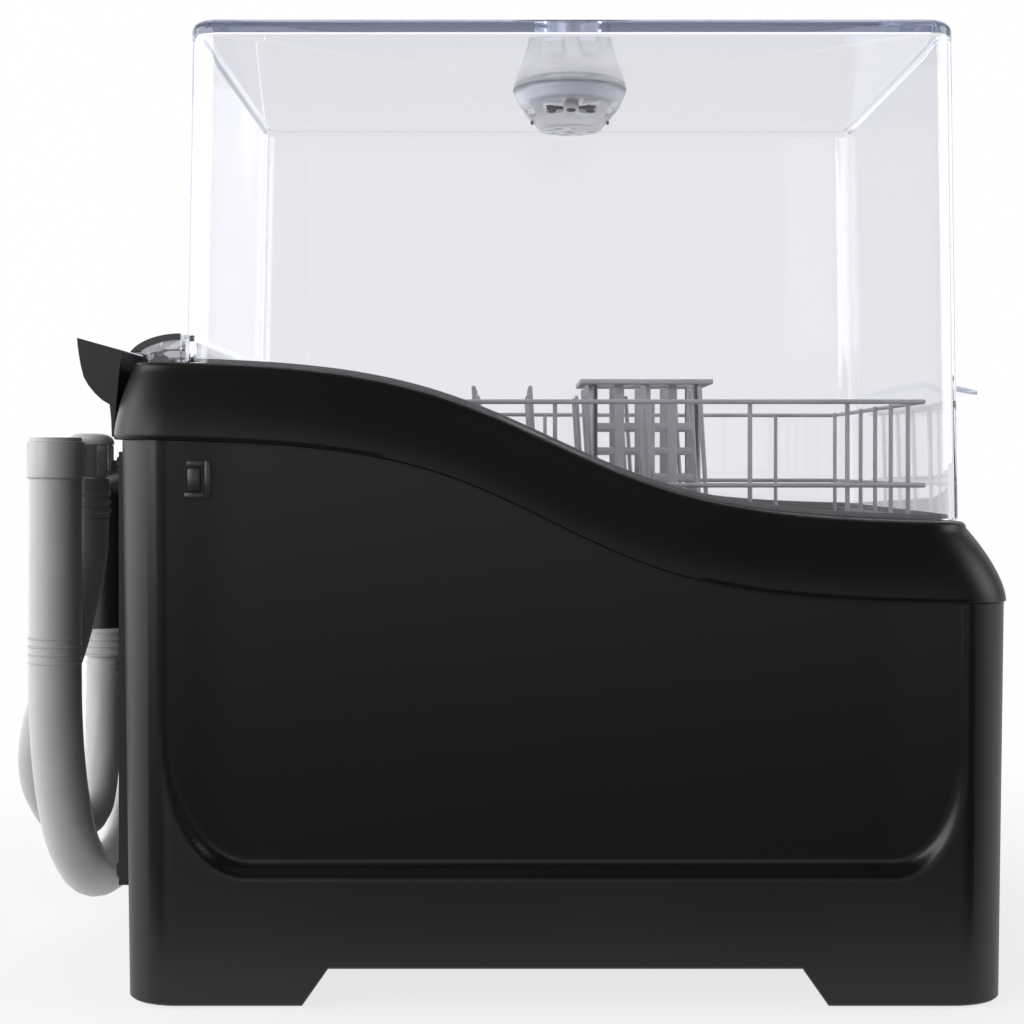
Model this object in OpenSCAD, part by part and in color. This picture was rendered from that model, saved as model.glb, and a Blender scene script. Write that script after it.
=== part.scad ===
// Worktop dishwasher with a clear lift-up lid. Millimetres, +X to the front, +Z up.
// The origin is on the worktop, under the middle of the machine.

/* [Case] */
// Length of the case from its rear wall to its front wall
case_l = 410; // [400:1:430]
// Width of the case across both sides
case_w = 353; // [345:1:365]
// Radius of the case's upright corners
case_r = 27; // [20:1:32]
// Thickness of the case's moulded wall
case_t = 3; // [2.5:0.1:3.5]
// Length of each foot along the side, at the worktop
foot_l = 84.5; // [70:0.5:100]
// Length of each foot across the front, at the worktop
foot_w = 62; // [50:1:75]
// How far a foot widens between the worktop and the arch
foot_slant = 12; // [6:0.5:16]
// Height of the arches between the feet
arch_h = 18.2; // [16:0.1:20]
// Radius of each rubber foot pad
pad_r = 15; // [12:0.5:18]
// How far the rubber pads stand out under the feet
pad_out = 1.2; // [1:0.1:2]
// Depth that each pad is let into its foot
pad_seat = 2; // [1.5:0.1:3]

/* [Side recess] */
// Depth of the sunk panel on each side
recess_d = 6; // [4:0.5:7]
// Width of the frame left at the rear of the sunk panel
recess_rear = 17; // [14:0.5:22]
// Width of the frame left at the front of the sunk panel
recess_front = 19; // [15:0.5:24]
// Height of the sunk panel's lower edge
recess_z = 60; // [50:1:70]
// Reach of the sunk panel's lower corner curve along the side
recess_cx = 34; // [20:1:45]
// Reach of the sunk panel's lower corner curve up the side
recess_cz = 72; // [50:1:90]
// Width of the slope round the sunk panel
recess_slope = 9; // [6:0.5:12]

/* [Deck] */
// Height halfway down the sweep of the deck's top edge
sweep_z = 259.5; // [255:0.5:265]
// Drop of the deck's top from the rear to the front
sweep_drop = 76; // [66:0.5:82]
// Distance from the rear wall to the middle of the sweep
sweep_u = 198.5; // [180:0.5:215]
// Half length of the sweep along the deck's top edge
sweep_top_l = 82; // [74:1:88]
// Half length of the sweep along the seam below it
sweep_seam_l = 77; // [72:1:86]
// Height of the deck's outer face from the seam to its top edge
edge_h = 36.5; // [32:0.5:40]
// How far the deck overhangs the rear wall at the seam
over_rear = 5.7; // [4:0.1:7]
// How far the deck overhangs the front wall at the seam
over_front = 1.8; // [1:0.1:3]
// How far the deck's rear face leans in
lean_rear = 7; // [5:0.5:9]
// How far the deck's front face leans in
lean_front = 16.5; // [12:0.5:18]
// How far the deck's side faces lean in
lean_side = 12; // [8:0.5:14]
// Wall of the deck moulding
deck_t = 3; // [2.5:0.1:3.5]
// Rounding of the deck's top edge
deck_round = 3; // [2:0.5:4]
// Shadow gap along every seam between fixed pieces
seam_gap = 0.3; // [0.2:0.05:0.5]

/* [Tub] */
// Distance from the rear wall to the tub's mouth
mouth_rear = 38.3; // [36:0.5:44]
// Distance from the front wall to the tub's mouth
mouth_front = 26.7; // [26:0.5:34]
// Width of the tub's mouth
mouth_w = 270; // [262:1:272]
// Radius of the corners of the tub's mouth
mouth_r = 12; // [8:1:12]
// Radius of the basin's upright corners below the ledge
basin_r = 30; // [22:1:34]
// Thickness of the tub's wall
tub_t = 2.5; // [2:0.1:3]
// Height of the ledge that carries the rack
ledge_z = 148; // [140:1:150]
// Width of that ledge
ledge_w = 18; // [14:1:20]
// Height of the tub's floor
floor_z = 112; // [108:0.5:114]
// Depth of the deck's lip into the tub's mouth
lip_d = 10; // [8:0.5:13]

/* [Lid] */
// Height of the lid's flat top
lid_z = 460; // [450:1:470]
// Width of the lid across both sides
lid_w = 289; // [286:1:292]
// Distance from the rear wall to the lid's rear wall, at the deck
lid_rear = 24.3; // [23:0.1:27]
// Distance from the front wall to the lid's front wall, at the deck
lid_front = 16.1; // [15.8:0.1:17]
// How far the lid's ends lean in towards its top
lid_draft = 3; // [1:0.5:4]
// Thickness of the lid's clear walls
lid_t = 4; // [3:0.5:4.5]
// Thickness of the lid's flat top
lid_top_t = 6; // [5:0.5:7]
// Radius of the lid's upright corners
lid_r = 14; // [11:1:20]
// Rounding of the lid's top edge
lid_round = 5; // [3:0.5:5]
// Gap between the lid's lower edge and the deck
lid_gap = 0.4; // [0.3:0.1:0.8]
// Width of the grip on the lid's front
grip_w = 142; // [100:2:180]
// How far the grip reaches in front of the case
grip_reach = 8; // [5:0.5:12]
// Height of the grip's underside where it meets the lid
grip_z = 288; // [270:1:310]
// Thickness of the grip
grip_t = 4; // [3:0.5:5]
// How far the grip slopes down
grip_drop = 4; // [0:0.5:6]

/* [Hinge] */
// Height of the hinge above the worktop
hinge_z = 302; // [301.5:0.1:303]
// Distance from the rear wall to the hinge
hinge_u = 3.8; // [3:0.1:5]
// Radius of the hinge's knuckles
knuckle_r = 4; // [3.5:0.1:4.2]
// Radius of the hinge pins
pin_r = 2; // [1.5:0.1:2.2]
// Running clearance round a hinge pin
pin_gap = 0.05; // [0.03:0.01:0.08]
// Distance from the middle of the lid to each hinge
hinge_y = 95; // [70:1:110]
// Length of the lid's knuckle
knuckle_l = 20; // [14:1:26]
// Length of each fixed cheek beside the knuckle
cheek_l = 5; // [4:0.5:7]
// Reach of the clear cowl behind the lid
cowl_a = 25.5; // [24.5:0.1:26]
// Height of the clear cowl above the deck
cowl_b = 13.6; // [12.5:0.1:14.5]
// Thickness of the clear cowl
cowl_t = 3; // [2.5:0.1:3]

/* [Drip guard] */
// How far the drip guard reaches behind the case
guard_reach = 24; // [20:0.5:28]
// Height of the drip guard's tip
guard_z = 308.6; // [304:0.2:312]
// Width of the drip guard
guard_w = 296; // [292:1:300]
// Thickness of the drip guard's skin
guard_t = 2.2; // [1.8:0.1:2.6]

/* [Rack] */
// Thickness of the rack's wires
wire_d = 3; // [2.4:0.1:3.4]
// Gap between the rack and the tub's walls
rack_gap = 4; // [4:0.5:6]
// Height of the rack's top rim
rim_z = 279; // [272:1:286]
// Height of the rack's middle ring
ring_z = 239; // [230:1:245]
// Height of the rack's floor wires above the ledge
rack_lift = 0.3; // [0.2:0.1:0.6]
// Spacing of the rack's wires along the machine
wire_px = 46.8; // [40:0.2:52]
// Spacing of the rack's wires across the machine
wire_py = 43; // [38:0.5:48]
// Height of the plate tines' tips
tine_z = 288; // [280:1:296]
// Spacing of the plate tines along the machine
tine_p = 28; // [24:0.5:32]
// Length of each row of plate tines, from the rack's rear
tine_l = 232; // [180:4:300]

/* [Cutlery basket] */
// Outside size of the cutlery basket's rim
cut_rim = 70; // [64:1:72]
// Outside size of the cutlery basket's body
cut_body = 56; // [50:1:60]
// Height of the cutlery basket's rim
cut_z = 294; // [286:1:298]
// Distance from the rear wall to the cutlery basket's middle
cut_u = 252; // [246:0.5:258]
// Thickness of the cutlery basket's wall
cut_t = 2.4; // [2:0.1:3]

/* [Water parts] */
// Height of the spray arm's underside
arm_z = 123; // [122:0.5:125]
// Length of the spray arm from tip to tip
arm_l = 208; // [180:2:212]
// Radius of the hollow post that carries the spray arm
post_r = 6; // [5:0.5:7]
// Running clearance of the turning water parts
spin_gap = 0.05; // [0.03:0.01:0.08]
// Radius of the sump under the tub
sump_r = 46; // [42:1:50]
// Height of the sump's floor
sump_z = 86; // [84:0.5:90]
// Radius of the round filter
filter_r = 34; // [28:1:36]
// Radius of the wash pump's housing
pump_r = 36; // [32:1:40]
// Radius of the wash pump's motor
motor_r = 28; // [24:1:30]
// Distance from the rear wall to the drain pump
drain_pump_u = 105; // [100:1:112]
// Height of the inlet valve's underside
valve_z = 92; // [88:1:98]
// Height of the inlet valve's body
valve_h = 34; // [30:1:40]

/* [Hoses] */
// Outside diameter of the drain hose
drain_d = 26; // [24:0.5:27]
// Outside diameter of the fill hose
fill_d = 20; // [18:0.5:21]
// Outside diameter of the drain hose's end fitting
drain_cap_d = 28.5; // [27:0.5:29]
// Outside diameter of the fill hose's end fitting
fill_cap_d = 25; // [23:0.5:25.5]
// Height of the end fittings' lower rims
cap_z = 242; // [240:0.5:246]
// Height of the end fittings
cap_h = 20; // [16:0.5:24]

/* [Details] */
// Thickness of the rear service panel where it stands proud
panel_out = 4.8; // [3:0.2:5]
// Height of the rear panel's lower edge
panel_z0 = 50.6; // [45:0.5:60]
// Height of the rear panel's upper edge
panel_z1 = 255; // [250:0.5:256]
// Width of the rear panel
panel_w = 290; // [280:1:296]
// Distance of the rear panel's screws from its edges
screw_in = 6; // [5:0.5:7]
// Width of the control board
board_w = 108; // [100:1:114]
// Height of the control board
board_h = 24; // [22:1:26]
// Radius of the front buttons
button_r = 6; // [5:0.5:7]
// Travel of the front buttons
button_travel = 1.5; // [1:0.1:2]
// Width of the side power switch
switch_w = 15.4; // [14:0.2:17]
// Height of the side power switch
switch_h = 17.5; // [16:0.5:20]
// Height of the side power switch's middle
switch_z = 242; // [238:0.5:243]
// Distance from the rear wall to the side power switch
switch_u = 35.2; // [34:0.2:40]
// Outer radius of the vent's bowl under the lid
vent_r = 32.5; // [30:0.5:33.5]
// Depth of the vent's bowl
vent_h = 24; // [22:0.5:28]
// Distance from the rear wall to the vent's middle
vent_u = 212.5; // [205:0.5:220]

/* [Hidden] */

// the machine's length runs from the drip guard's tip to the lid's grip
total_l = guard_reach + case_l + grip_reach;
rear_x = guard_reach - total_l / 2;
front_x = rear_x + case_l;
side_y = case_w / 2;
tip_x = rear_x - guard_reach;
grip_x = front_x + grip_reach;

// rectangles with round corners: rear x, front x, half width, corner radius
deck_seam = [rear_x - over_rear, front_x + over_front, side_y, case_r];
deck_crown = [deck_seam[0] + lean_rear, deck_seam[1] - lean_front, side_y - lean_side,
    case_r - deck_round];
mouth = [rear_x + mouth_rear, front_x - mouth_front, mouth_w / 2, mouth_r];
lid_foot = [rear_x + lid_rear, front_x - lid_front, lid_w / 2, lid_r];
lid_head = [lid_foot[0] + lid_draft, lid_foot[1] - lid_draft, lid_foot[2], lid_r];
tub_mid = (mouth[0] + mouth[1]) / 2;
basin = [mouth[0] + ledge_w, mouth[1] - ledge_w, mouth[2] - ledge_w, basin_r];

sweep_x = rear_x + sweep_u;
// height of the deck's rear and front levels
deck_rear_z = sweep_z + sweep_drop / 2;
deck_front_z = sweep_z - sweep_drop / 2;

case_top_z = deck_rear_z + 10;
hinge_x = rear_x + hinge_u;
// steps along each side, round each corner and across each end of the deck and of the lid
deck_steps = [28, 7, 1];
lid_steps = [26, 5, 1];

pad_x = [rear_x + foot_l / 2 + 4, front_x - foot_l / 2 - 4];
pad_y = side_y - foot_w / 2 - 2;

wire_r = wire_d / 2;
// play left at each weld between two wires, and between clipped walls
weld = 0.05;
rack_box = [mouth[0] + rack_gap + wire_r, mouth[1] - rack_gap - wire_r,
    mouth[2] - rack_gap - wire_r];
rack_z = ledge_z + rack_lift + wire_r;
cut_x = rear_x + cut_u;
cut_floor = rack_z + 1.5 * wire_d + weld + 0.3;
tine_y = cut_rim / 2 + 6;

wash_x = tub_mid;
shaft_r = 3;
nozzle_z = arm_z + 10;
housing_z0 = 60;
housing_z1 = sump_z - tub_t;
impeller_r = pump_r - 8;
drain_pump_x = rear_x + drain_pump_u;
drain_pump_y = -70;
drain_pump_z = 48;
drain_pump_r = 20;

vent_x = rear_x + vent_u;
vent_neck_r = 20;
vent_cap_r = 30;
ceiling_z = lid_z - lid_top_t;

panel_x = rear_x - panel_out;
window_y = 60;
window_z0 = 146;
window_z1 = 176;
switch_x = rear_x + switch_u;
recess_y = side_y - recess_d;

// Routes of the two hoses, down from their parked end fittings to the pipes on the rear panel
drain_route = [
    [-241, -105, 242], [-241, -105, 218], [-241, -105, 195], [-241, -105, 171],
    [-241, -105, 147], [-241, -103, 123], [-241, -96, 99], [-241, -84, 77], [-241, -68, 58],
    [-240, -49, 43], [-240, -27, 33], [-239, -4, 28], [-238, 19, 28], [-237, 42, 33],
    [-237, 64, 43], [-236, 83, 58], [-235, 98, 77], [-234, 110, 99], [-233, 117, 123],
    [-233, 120, 148]
];
fill_route = [
    [-230, -78, 222], [-231, -78, 202], [-235, -78, 181], [-240, -78, 161], [-247, -78, 140],
    [-255, -74, 115], [-259, -63, 92], [-258, -45, 73], [-255, -23, 60], [-252, 2, 54],
    [-250, 27, 56], [-251, 49, 66], [-253, 67, 82], [-255, 78, 104], [-255, 82, 137]
];
hose_sides = 12;
drain_top = drain_route[0];
drain_end = drain_route[len(drain_route) - 1];
fill_top = fill_route[0];
fill_end = fill_route[len(fill_route) - 1];
pipe_z = 240;
duct_x = rear_x + 19;
drain_duct_y = drain_end[1];
fill_duct_y = fill_end[1];

function tanh(u) = (exp(2 * u) - 1) / (exp(2 * u) + 1);
function top_z(x) = sweep_z - sweep_drop / 2 * tanh((x - sweep_x) / sweep_top_l);
function seam_z(x) = sweep_z - edge_h - sweep_drop / 2 * tanh((x - sweep_x) / sweep_seam_l);
function mix(a, b, t) = a + (b - a) * t;
function mix_box(a, b, t) = [for (i = [0:3]) mix(a[i], b[i], t)];
function grow(box, d) = [box[0] - d, box[1] + d, box[2] + d, box[3] + d];

// points round a rectangle with round corners, anticlockwise from its rear right corner
function arc_points(x, y, r, from, n) = [for (i = [0:n - 1]) let(a = from + 90 * i / n)
    [x + r * cos(a), y + r * sin(a)]];
function loop_points(box, steps) = let(
    x0 = box[0] + box[3], x1 = box[1] - box[3], y1 = box[2] - box[3], r = box[3],
    n = steps[0], na = steps[1], ne = steps[2])
    concat(
        [for (i = [0:n - 1]) [mix(x0, x1, i / n), -box[2]]],
        arc_points(x1, -y1, r, -90, na),
        [for (i = [0:ne - 1]) [box[1], mix(-y1, y1, i / ne)]],
        arc_points(x1, y1, r, 0, na),
        [for (i = [0:n - 1]) [mix(x1, x0, i / n), box[2]]],
        arc_points(x0, y1, r, 90, na),
        [for (i = [0:ne - 1]) [box[0], mix(y1, -y1, i / ne)]],
        arc_points(x0, -y1, r, 180, na)
    );
// a ring at a height above the seam (share 0) or the top edge (share 1) of the deck
function deck_ring(box, share, dz, steps = deck_steps) = [for (p = loop_points(box, steps))
    [p[0], p[1], mix(seam_z(p[0]), top_z(p[0]), share) + dz]];
function flat_ring(box, z) = [for (p = loop_points(box, lid_steps)) [p[0], p[1], z]];

// the faces between one ring and the next, each ring having n points
function band(n, a, b) = [for (i = [0:n - 1]) let(j = (i + 1) % n)
    each [[a * n + i, b * n + i, b * n + j], [a * n + i, b * n + j, a * n + j]]];

// a closed band of rings, like a picture frame
module frame_skin(rings) {
    n = len(rings[0]);
    m = len(rings);
    polyhedron([for (r = rings) each r],
        [for (k = [0:m - 1]) each band(n, k, (k + 1) % m)], convexity = 8);
}
module round_box_2d(box) {
    r = box[3];
    translate([box[0] + r, -box[2]]) square([box[1] - box[0] - 2 * r, 2 * box[2]]);
    translate([box[0], r - box[2]]) square([box[1] - box[0], 2 * (box[2] - r)]);
    for (x = [box[0] + r, box[1] - r], y = [r - box[2], box[2] - r])
        translate([x, y]) circle(r, $fn = 48);
}
module round_box(box, z0, z1) {
    translate([0, 0, z0]) linear_extrude(z1 - z0) round_box_2d(box);
}
// everything under a sweep line, across the whole machine
module under_sweep(share, dz, from_z) {
    x0 = deck_seam[0] - 10;
    x1 = deck_seam[1] + 10;
    n = 56;
    line = [for (i = [0:n]) let(x = mix(x0, x1, i / n)) [x, mix(seam_z(x), top_z(x), share) + dz]];
    translate([0, side_y + 10, 0]) rotate([90, 0, 0]) linear_extrude(case_w + 20)
        polygon(concat([[x0, from_z], [x1, from_z]], [for (i = [n:-1:0]) line[i]]));
}
module rod(a, b, r, fn = 24) {
    d = b - a;
    translate(a) rotate([0, acos(d[2] / norm(d)), atan2(d[1], d[0])])
        cylinder(r = r, h = norm(d), $fn = fn);
}
// rigid pipe along a list of points, with a ball at each bend
module pipe(points, r) {
    for (i = [0:len(points) - 2]) rod(points[i], points[i + 1], r);
    for (i = [1:len(points) - 2]) translate(points[i]) sphere(r, $fn = 24);
}
// Catmull-Rom point t of the way from point i to the next
function at(route, i) = route[max(0, min(len(route) - 1, i))];
function spline(route, i, t) = let(a = at(route, i - 1), b = at(route, i), c = at(route, i + 1),
    d = at(route, i + 2))
    (2 * b + (c - a) * t + (2 * a - 5 * b + 4 * c - d) * t * t
    + (3 * b - a - 3 * c + d) * t * t * t) / 2;
function unit(v) = v / norm(v);
// a tube swept along a route, its rings turned as little as possible
module hose(route, d, steps) {
    last = len(route) - 1;
    line = [for (i = [0:last - 1], k = [0:steps - 1]) spline(route, i, k / steps), route[last]];
    n = len(line);
    dirs = [for (i = [0:n - 1]) i == 0 || i == n - 1 ? [0, 0, i == 0 ? -1 : 1]
        : unit(line[i + 1] - line[i - 1])];
    function side(i) = i == 0 ? [1, 0, 0] : let(s = side(i - 1)) unit(s - (s * dirs[i]) * dirs[i]);
    rings = [for (i = [0:n - 1]) let(u = side(i), v = cross(dirs[i], u))
        [for (k = [0:hose_sides - 1]) let(w = 360 * k / hose_sides)
            line[i] + d / 2 * (cos(w) * u + sin(w) * v)]];
    polyhedron([for (r = rings) each r],
        concat([for (k = [0:n - 2]) each band(hose_sides, k + 1, k)],
            [[for (i = [hose_sides - 1:-1:0]) i]],
            [[for (i = [0:hose_sides - 1]) (n - 1) * hose_sides + i]]), convexity = 6);
}

// ---------------------------------------------------------------- case
module recess_2d(d) {
    x0 = rear_x + recess_rear + d;
    x1 = front_x - recess_front - d;
    z0 = recess_z + d;
    n = 10;
    polygon(concat(
        [for (i = [0:n]) let(a = 180 + 90 * i / n)
            [x0 + recess_cx + recess_cx * cos(a), z0 + recess_cz + recess_cz * sin(a)]],
        [for (i = [0:n]) let(a = 270 + 90 * i / n)
            [x1 - recess_cx + recess_cx * cos(a), z0 + recess_cz + recess_cz * sin(a)]],
        [[x1, case_top_z + 10], [x0, case_top_z + 10]]));
}
module recess(side) {
    steps = 3;
    for (k = [0:steps - 1]) {
        d = recess_slope * k / steps;
        depth = recess_d * (k + 1) / steps;
        translate([0, side * (side_y - depth) + (side > 0 ? depth + 1 : 0), 0])
            rotate([90, 0, 0]) linear_extrude(depth + 1) recess_2d(d);
    }
}
// a trapezoid arch through the skirt, wider at the worktop
module arch_2d(half) {
    polygon([[-half, -1], [half, -1], [half, 0], [half - foot_slant, arch_h],
        [foot_slant - half, arch_h], [-half, 0]]);
}
module case_shell() {
    body = [rear_x, front_x, side_y, case_r];
    hollow = [rear_x + case_t, front_x - case_t, side_y - recess_d - case_t, case_r - case_t];
    color("#1c1c1d") difference() {
        intersection() {
            round_box(body, pad_out, case_top_z);
            under_sweep(0, -seam_gap, 0);
        }
        round_box(hollow, arch_h + 6, case_top_z + 1);
        for (s = [-1, 1]) recess(s);
        translate([(rear_x + front_x) / 2, side_y + 1, 0]) rotate([90, 0, 0])
            linear_extrude(case_w + 2) arch_2d(case_l / 2 - foot_l);
        translate([rear_x - 1, 0, 0]) rotate([90, 0, 90])
            linear_extrude(case_l + 2) arch_2d(side_y - foot_w);
        translate([0, 0, arch_h - 1]) linear_extrude(8) base_2d(0);
        for (x = pad_x, y = [-pad_y, pad_y])
            translate([x, y, 0]) cylinder(r = pad_r + 0.2, h = pad_out + pad_seat, $fn = 48);
        translate([rear_x - 1, 12 - panel_w / 2, panel_z0 + 12])
            cube([case_t + 2, panel_w - 24, panel_z1 - panel_z0 - 16]);
        translate([front_x - case_t - 1, -window_y, window_z0])
            cube([case_t + 2, 2 * window_y, window_z1 - window_z0]);
        translate([switch_x - switch_w / 2 + 2, 1 - side_y, switch_z - switch_h / 2 + 2])
            cube([switch_w - 4, case_t + recess_d + 4, switch_h - 4]);
    }
}
module base_2d(d) {
    translate([rear_x + 12 + d, d - side_y + 16])
        square([case_l - 24 - 2 * d, case_w - 32 - 2 * d]);
}
module base_plate() {
    color("#202021") difference() {
        translate([0, 0, arch_h]) linear_extrude(3) base_2d(seam_gap);
        for (i = [-4:4]) translate([tub_mid + i * 16 - 3, 60, arch_h - 1]) cube([6, 50, 5]);
    }
}
module foot_pad(i, s) {
    color("#3a3a3b") translate([pad_x[i], s * pad_y, 0]) {
        cylinder(r = pad_r, h = pad_out + pad_seat, $fn = 48);
    }
}
module foot_pad_rl() { foot_pad(0, -1); }
module foot_pad_rr() { foot_pad(0, 1); }
module foot_pad_fl() { foot_pad(1, -1); }
module foot_pad_fr() { foot_pad(1, 1); }

// ---------------------------------------------------------------- deck and tub
module deck() {
    rise = [0, 0.15, 0.3, 0.45, 0.6, 0.75, 0.87, 1];
    crown_z = deck_round / 2;
    // the flange under the deck reaches over the case's wall
    flange = over_rear + case_t;
    skin = [for (t = rise) let(g = pow(t, 1.6)) [mix_box(deck_seam, deck_crown, g), t]];
    color("#1b1b1c") frame_skin(concat(
        [for (s = skin) deck_ring(s[0], s[1], -deck_round * s[1])],
        [deck_ring(grow(deck_crown, -crown_z / 2), 1, -crown_z / 2)],
        [deck_ring(grow(deck_crown, -deck_round), 1, 0)],
        [deck_ring(grow(mouth, 1.5), 1, 0)],
        [deck_ring(mouth, 1, -1.5)],
        [deck_ring(mouth, 1, -lip_d)],
        [deck_ring(grow(mouth, deck_t), 1, -lip_d)],
        [deck_ring(grow(mouth, deck_t), 1, -deck_t - 1)],
        [deck_ring(grow(deck_crown, -deck_t - deck_round), 1, -deck_t - 1)],
        [for (i = [len(skin) - 2:-1:1]) let(s = skin[i])
            deck_ring(grow(s[0], -deck_t), s[1], -deck_round * s[1] - 1)],
        [deck_ring(grow(deck_seam, -flange), 0, deck_t)],
        [deck_ring(grow(deck_seam, -flange), 0, 0)]
    ));
}
module tub() {
    color("#b9bcc0") difference() {
        intersection() {
            union() {
                round_box(grow(mouth, tub_t), ledge_z - tub_t, case_top_z);
                round_box(grow(basin, tub_t), floor_z - tub_t, ledge_z);
            }
            under_sweep(1, -lip_d - seam_gap, 0);
        }
        round_box(mouth, ledge_z, case_top_z + 1);
        round_box(basin, floor_z, ledge_z + 1);
        translate([wash_x, 0, floor_z - tub_t - 1]) cylinder(r = sump_r - 4, h = tub_t + 2, $fn = 64);
        translate([float_x, float_y, floor_z - tub_t - 1]) cylinder(r = 5.3, h = tub_t + 2, $fn = 32);
        for (s = [-1, 1]) translate([heater_x, s * heater_leg, floor_z - tub_t - 1])
            cylinder(r = heater_d / 2 + 0.2, h = tub_t + 2, $fn = 24);
        translate([mouth[0] - tub_t - 1, fill_duct_y, fill_in_z]) rotate([0, 90, 0])
            cylinder(r = 6.2, h = tub_t + 2, $fn = 24);
    }
}
// rubber seal lying on the deck just inside the lid
module deck_seal() {
    outer = grow(mix_box(lid_foot, lid_head, 0), -lid_t - 0.6);
    color("#3b3c3e") frame_skin([
        deck_ring(outer, 1, 0.1), deck_ring(outer, 1, 2.2), deck_ring(grow(outer, -0.8), 1, 3),
        deck_ring(grow(outer, -2.2), 1, 2.2), deck_ring(grow(outer, -2.6), 1, 0.1)]);
}

// ---------------------------------------------------------------- lid and hinge
module hinge_block(s) {
    foot_z = top_z(hinge_x) + 0.1;
    color("#262627") difference() {
        for (e = [-1, 1]) {
            y0 = s * hinge_y + e * (knuckle_l / 2 + 0.4 + cheek_l / 2);
            translate([hinge_x, y0 - cheek_l / 2, hinge_z]) rotate([-90, 0, 0])
                cylinder(r = knuckle_r - 0.2, h = cheek_l, $fn = 48);
            translate([hinge_x, y0 - cheek_l / 2, foot_z])
                cube([8, cheek_l, hinge_z - foot_z]);
        }
        translate([hinge_x, s * hinge_y - 30, hinge_z]) rotate([-90, 0, 0])
            cylinder(r = pin_r, h = 60, $fn = 48);
    }
}
module hinge_block_l() { hinge_block(-1); }
module hinge_block_r() { hinge_block(1); }
module hinge_pin(s) {
    half = knuckle_l / 2 + 0.4 + cheek_l;
    color("#c9cacc") translate([hinge_x, s * hinge_y - half, hinge_z]) rotate([-90, 0, 0])
        cylinder(r = pin_r, h = 2 * half, $fn = 48);
}
module hinge_pin_l() { hinge_pin(-1); }
module hinge_pin_r() { hinge_pin(1); }

module cowl_2d(a, b) {
    n = 16;
    polygon(concat([[0, 0]], [for (i = [0:n]) let(w = 90 + 90 * i / n) [a * cos(w), b * sin(w)]]));
}
// a circle with one point for each point of the lid's rings
function vent_ring(r, z) = [for (q = loop_points(lid_head, lid_steps))
    let(u = unit(q - [vent_x, 0])) [vent_x + r * u[0], r * u[1], z]];
module lid_box() {
    foot_in = grow(lid_foot, -lid_t);
    head_in = grow(lid_head, -lid_t);
    r = vent_neck_r - 5;
    frame_skin([
        vent_ring(r, lid_z),
        vent_ring(r, ceiling_z),
        flat_ring(grow(head_in, -2), ceiling_z),
        flat_ring(head_in, ceiling_z - 2),
        deck_ring(foot_in, 1, lid_gap, lid_steps),
        deck_ring(lid_foot, 1, lid_gap, lid_steps),
        flat_ring(lid_head, lid_z - lid_round),
        flat_ring(grow(lid_head, -lid_round * 0.3), lid_z - lid_round * 0.3),
        flat_ring(grow(lid_head, -lid_round), lid_z)
    ]);
}
module lid() {
    color("#e8e8ec", 0.35) difference() {
        union() {
            lid_box();
            // grip along the front wall
            translate([0, grip_w / 2, 0]) rotate([90, 0, 0]) linear_extrude(grip_w)
                polygon([[lid_foot[1] - lid_t + 1, grip_z], [grip_x, grip_z - grip_drop],
                    [grip_x, grip_z - grip_drop + grip_t * 0.6],
                    [lid_foot[1] - lid_t + 1, grip_z + grip_t]]);
        }
        translate([vent_x, 0, ceiling_z - 1])
            cylinder(r = vent_neck_r + 0.1, h = lid_top_t + 2, $fn = 64);
    }
}
// clear cowl bonded to the lid's rear wall over the hinges, closed at both ends
module lid_cowl() {
    cowl_z = top_z(hinge_x) + lid_gap;
    wall_x = lid_foot[0] - 0.05;
    color("#e8e8ec", 0.35) difference() {
        translate([wall_x, lid_w / 2, cowl_z]) rotate([90, 0, 0]) difference() {
            linear_extrude(lid_w) cowl_2d(cowl_a, cowl_b);
            translate([0, 0, cowl_t]) linear_extrude(lid_w - 2 * cowl_t)
                cowl_2d(cowl_a - cowl_t, cowl_b - cowl_t);
        }
        translate([wall_x - cowl_a - 3, -side_y, cowl_z - 1])
            cube([cowl_a - 12, case_w, hinge_z - cowl_z + 1]);
        for (s = [-1, 1]) translate([hinge_x - 6, s * hinge_y - knuckle_l / 2 - 6, cowl_z - 1])
            cube([17, knuckle_l + 12, 12]);
    }
}
// hinge arm bonded to the lid's rear wall inside the cowl
module lid_arm(s) {
    color("#e8e8ec", 0.35) translate([hinge_x, s * hinge_y, hinge_z]) difference() {
        union() {
            translate([0, -knuckle_l / 2, 0]) rotate([-90, 0, 0])
                cylinder(r = knuckle_r, h = knuckle_l, $fn = 48);
            translate([0, -knuckle_l / 2, -0.5])
                cube([lid_foot[0] - 0.05 - hinge_x, knuckle_l, knuckle_r]);
        }
        translate([0, -knuckle_l, 0]) rotate([-90, 0, 0])
            cylinder(r = pin_r + pin_gap, h = 2 * knuckle_l, $fn = 48);
    }
}
module lid_arm_l() { lid_arm(-1); }
module lid_arm_r() { lid_arm(1); }

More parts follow.
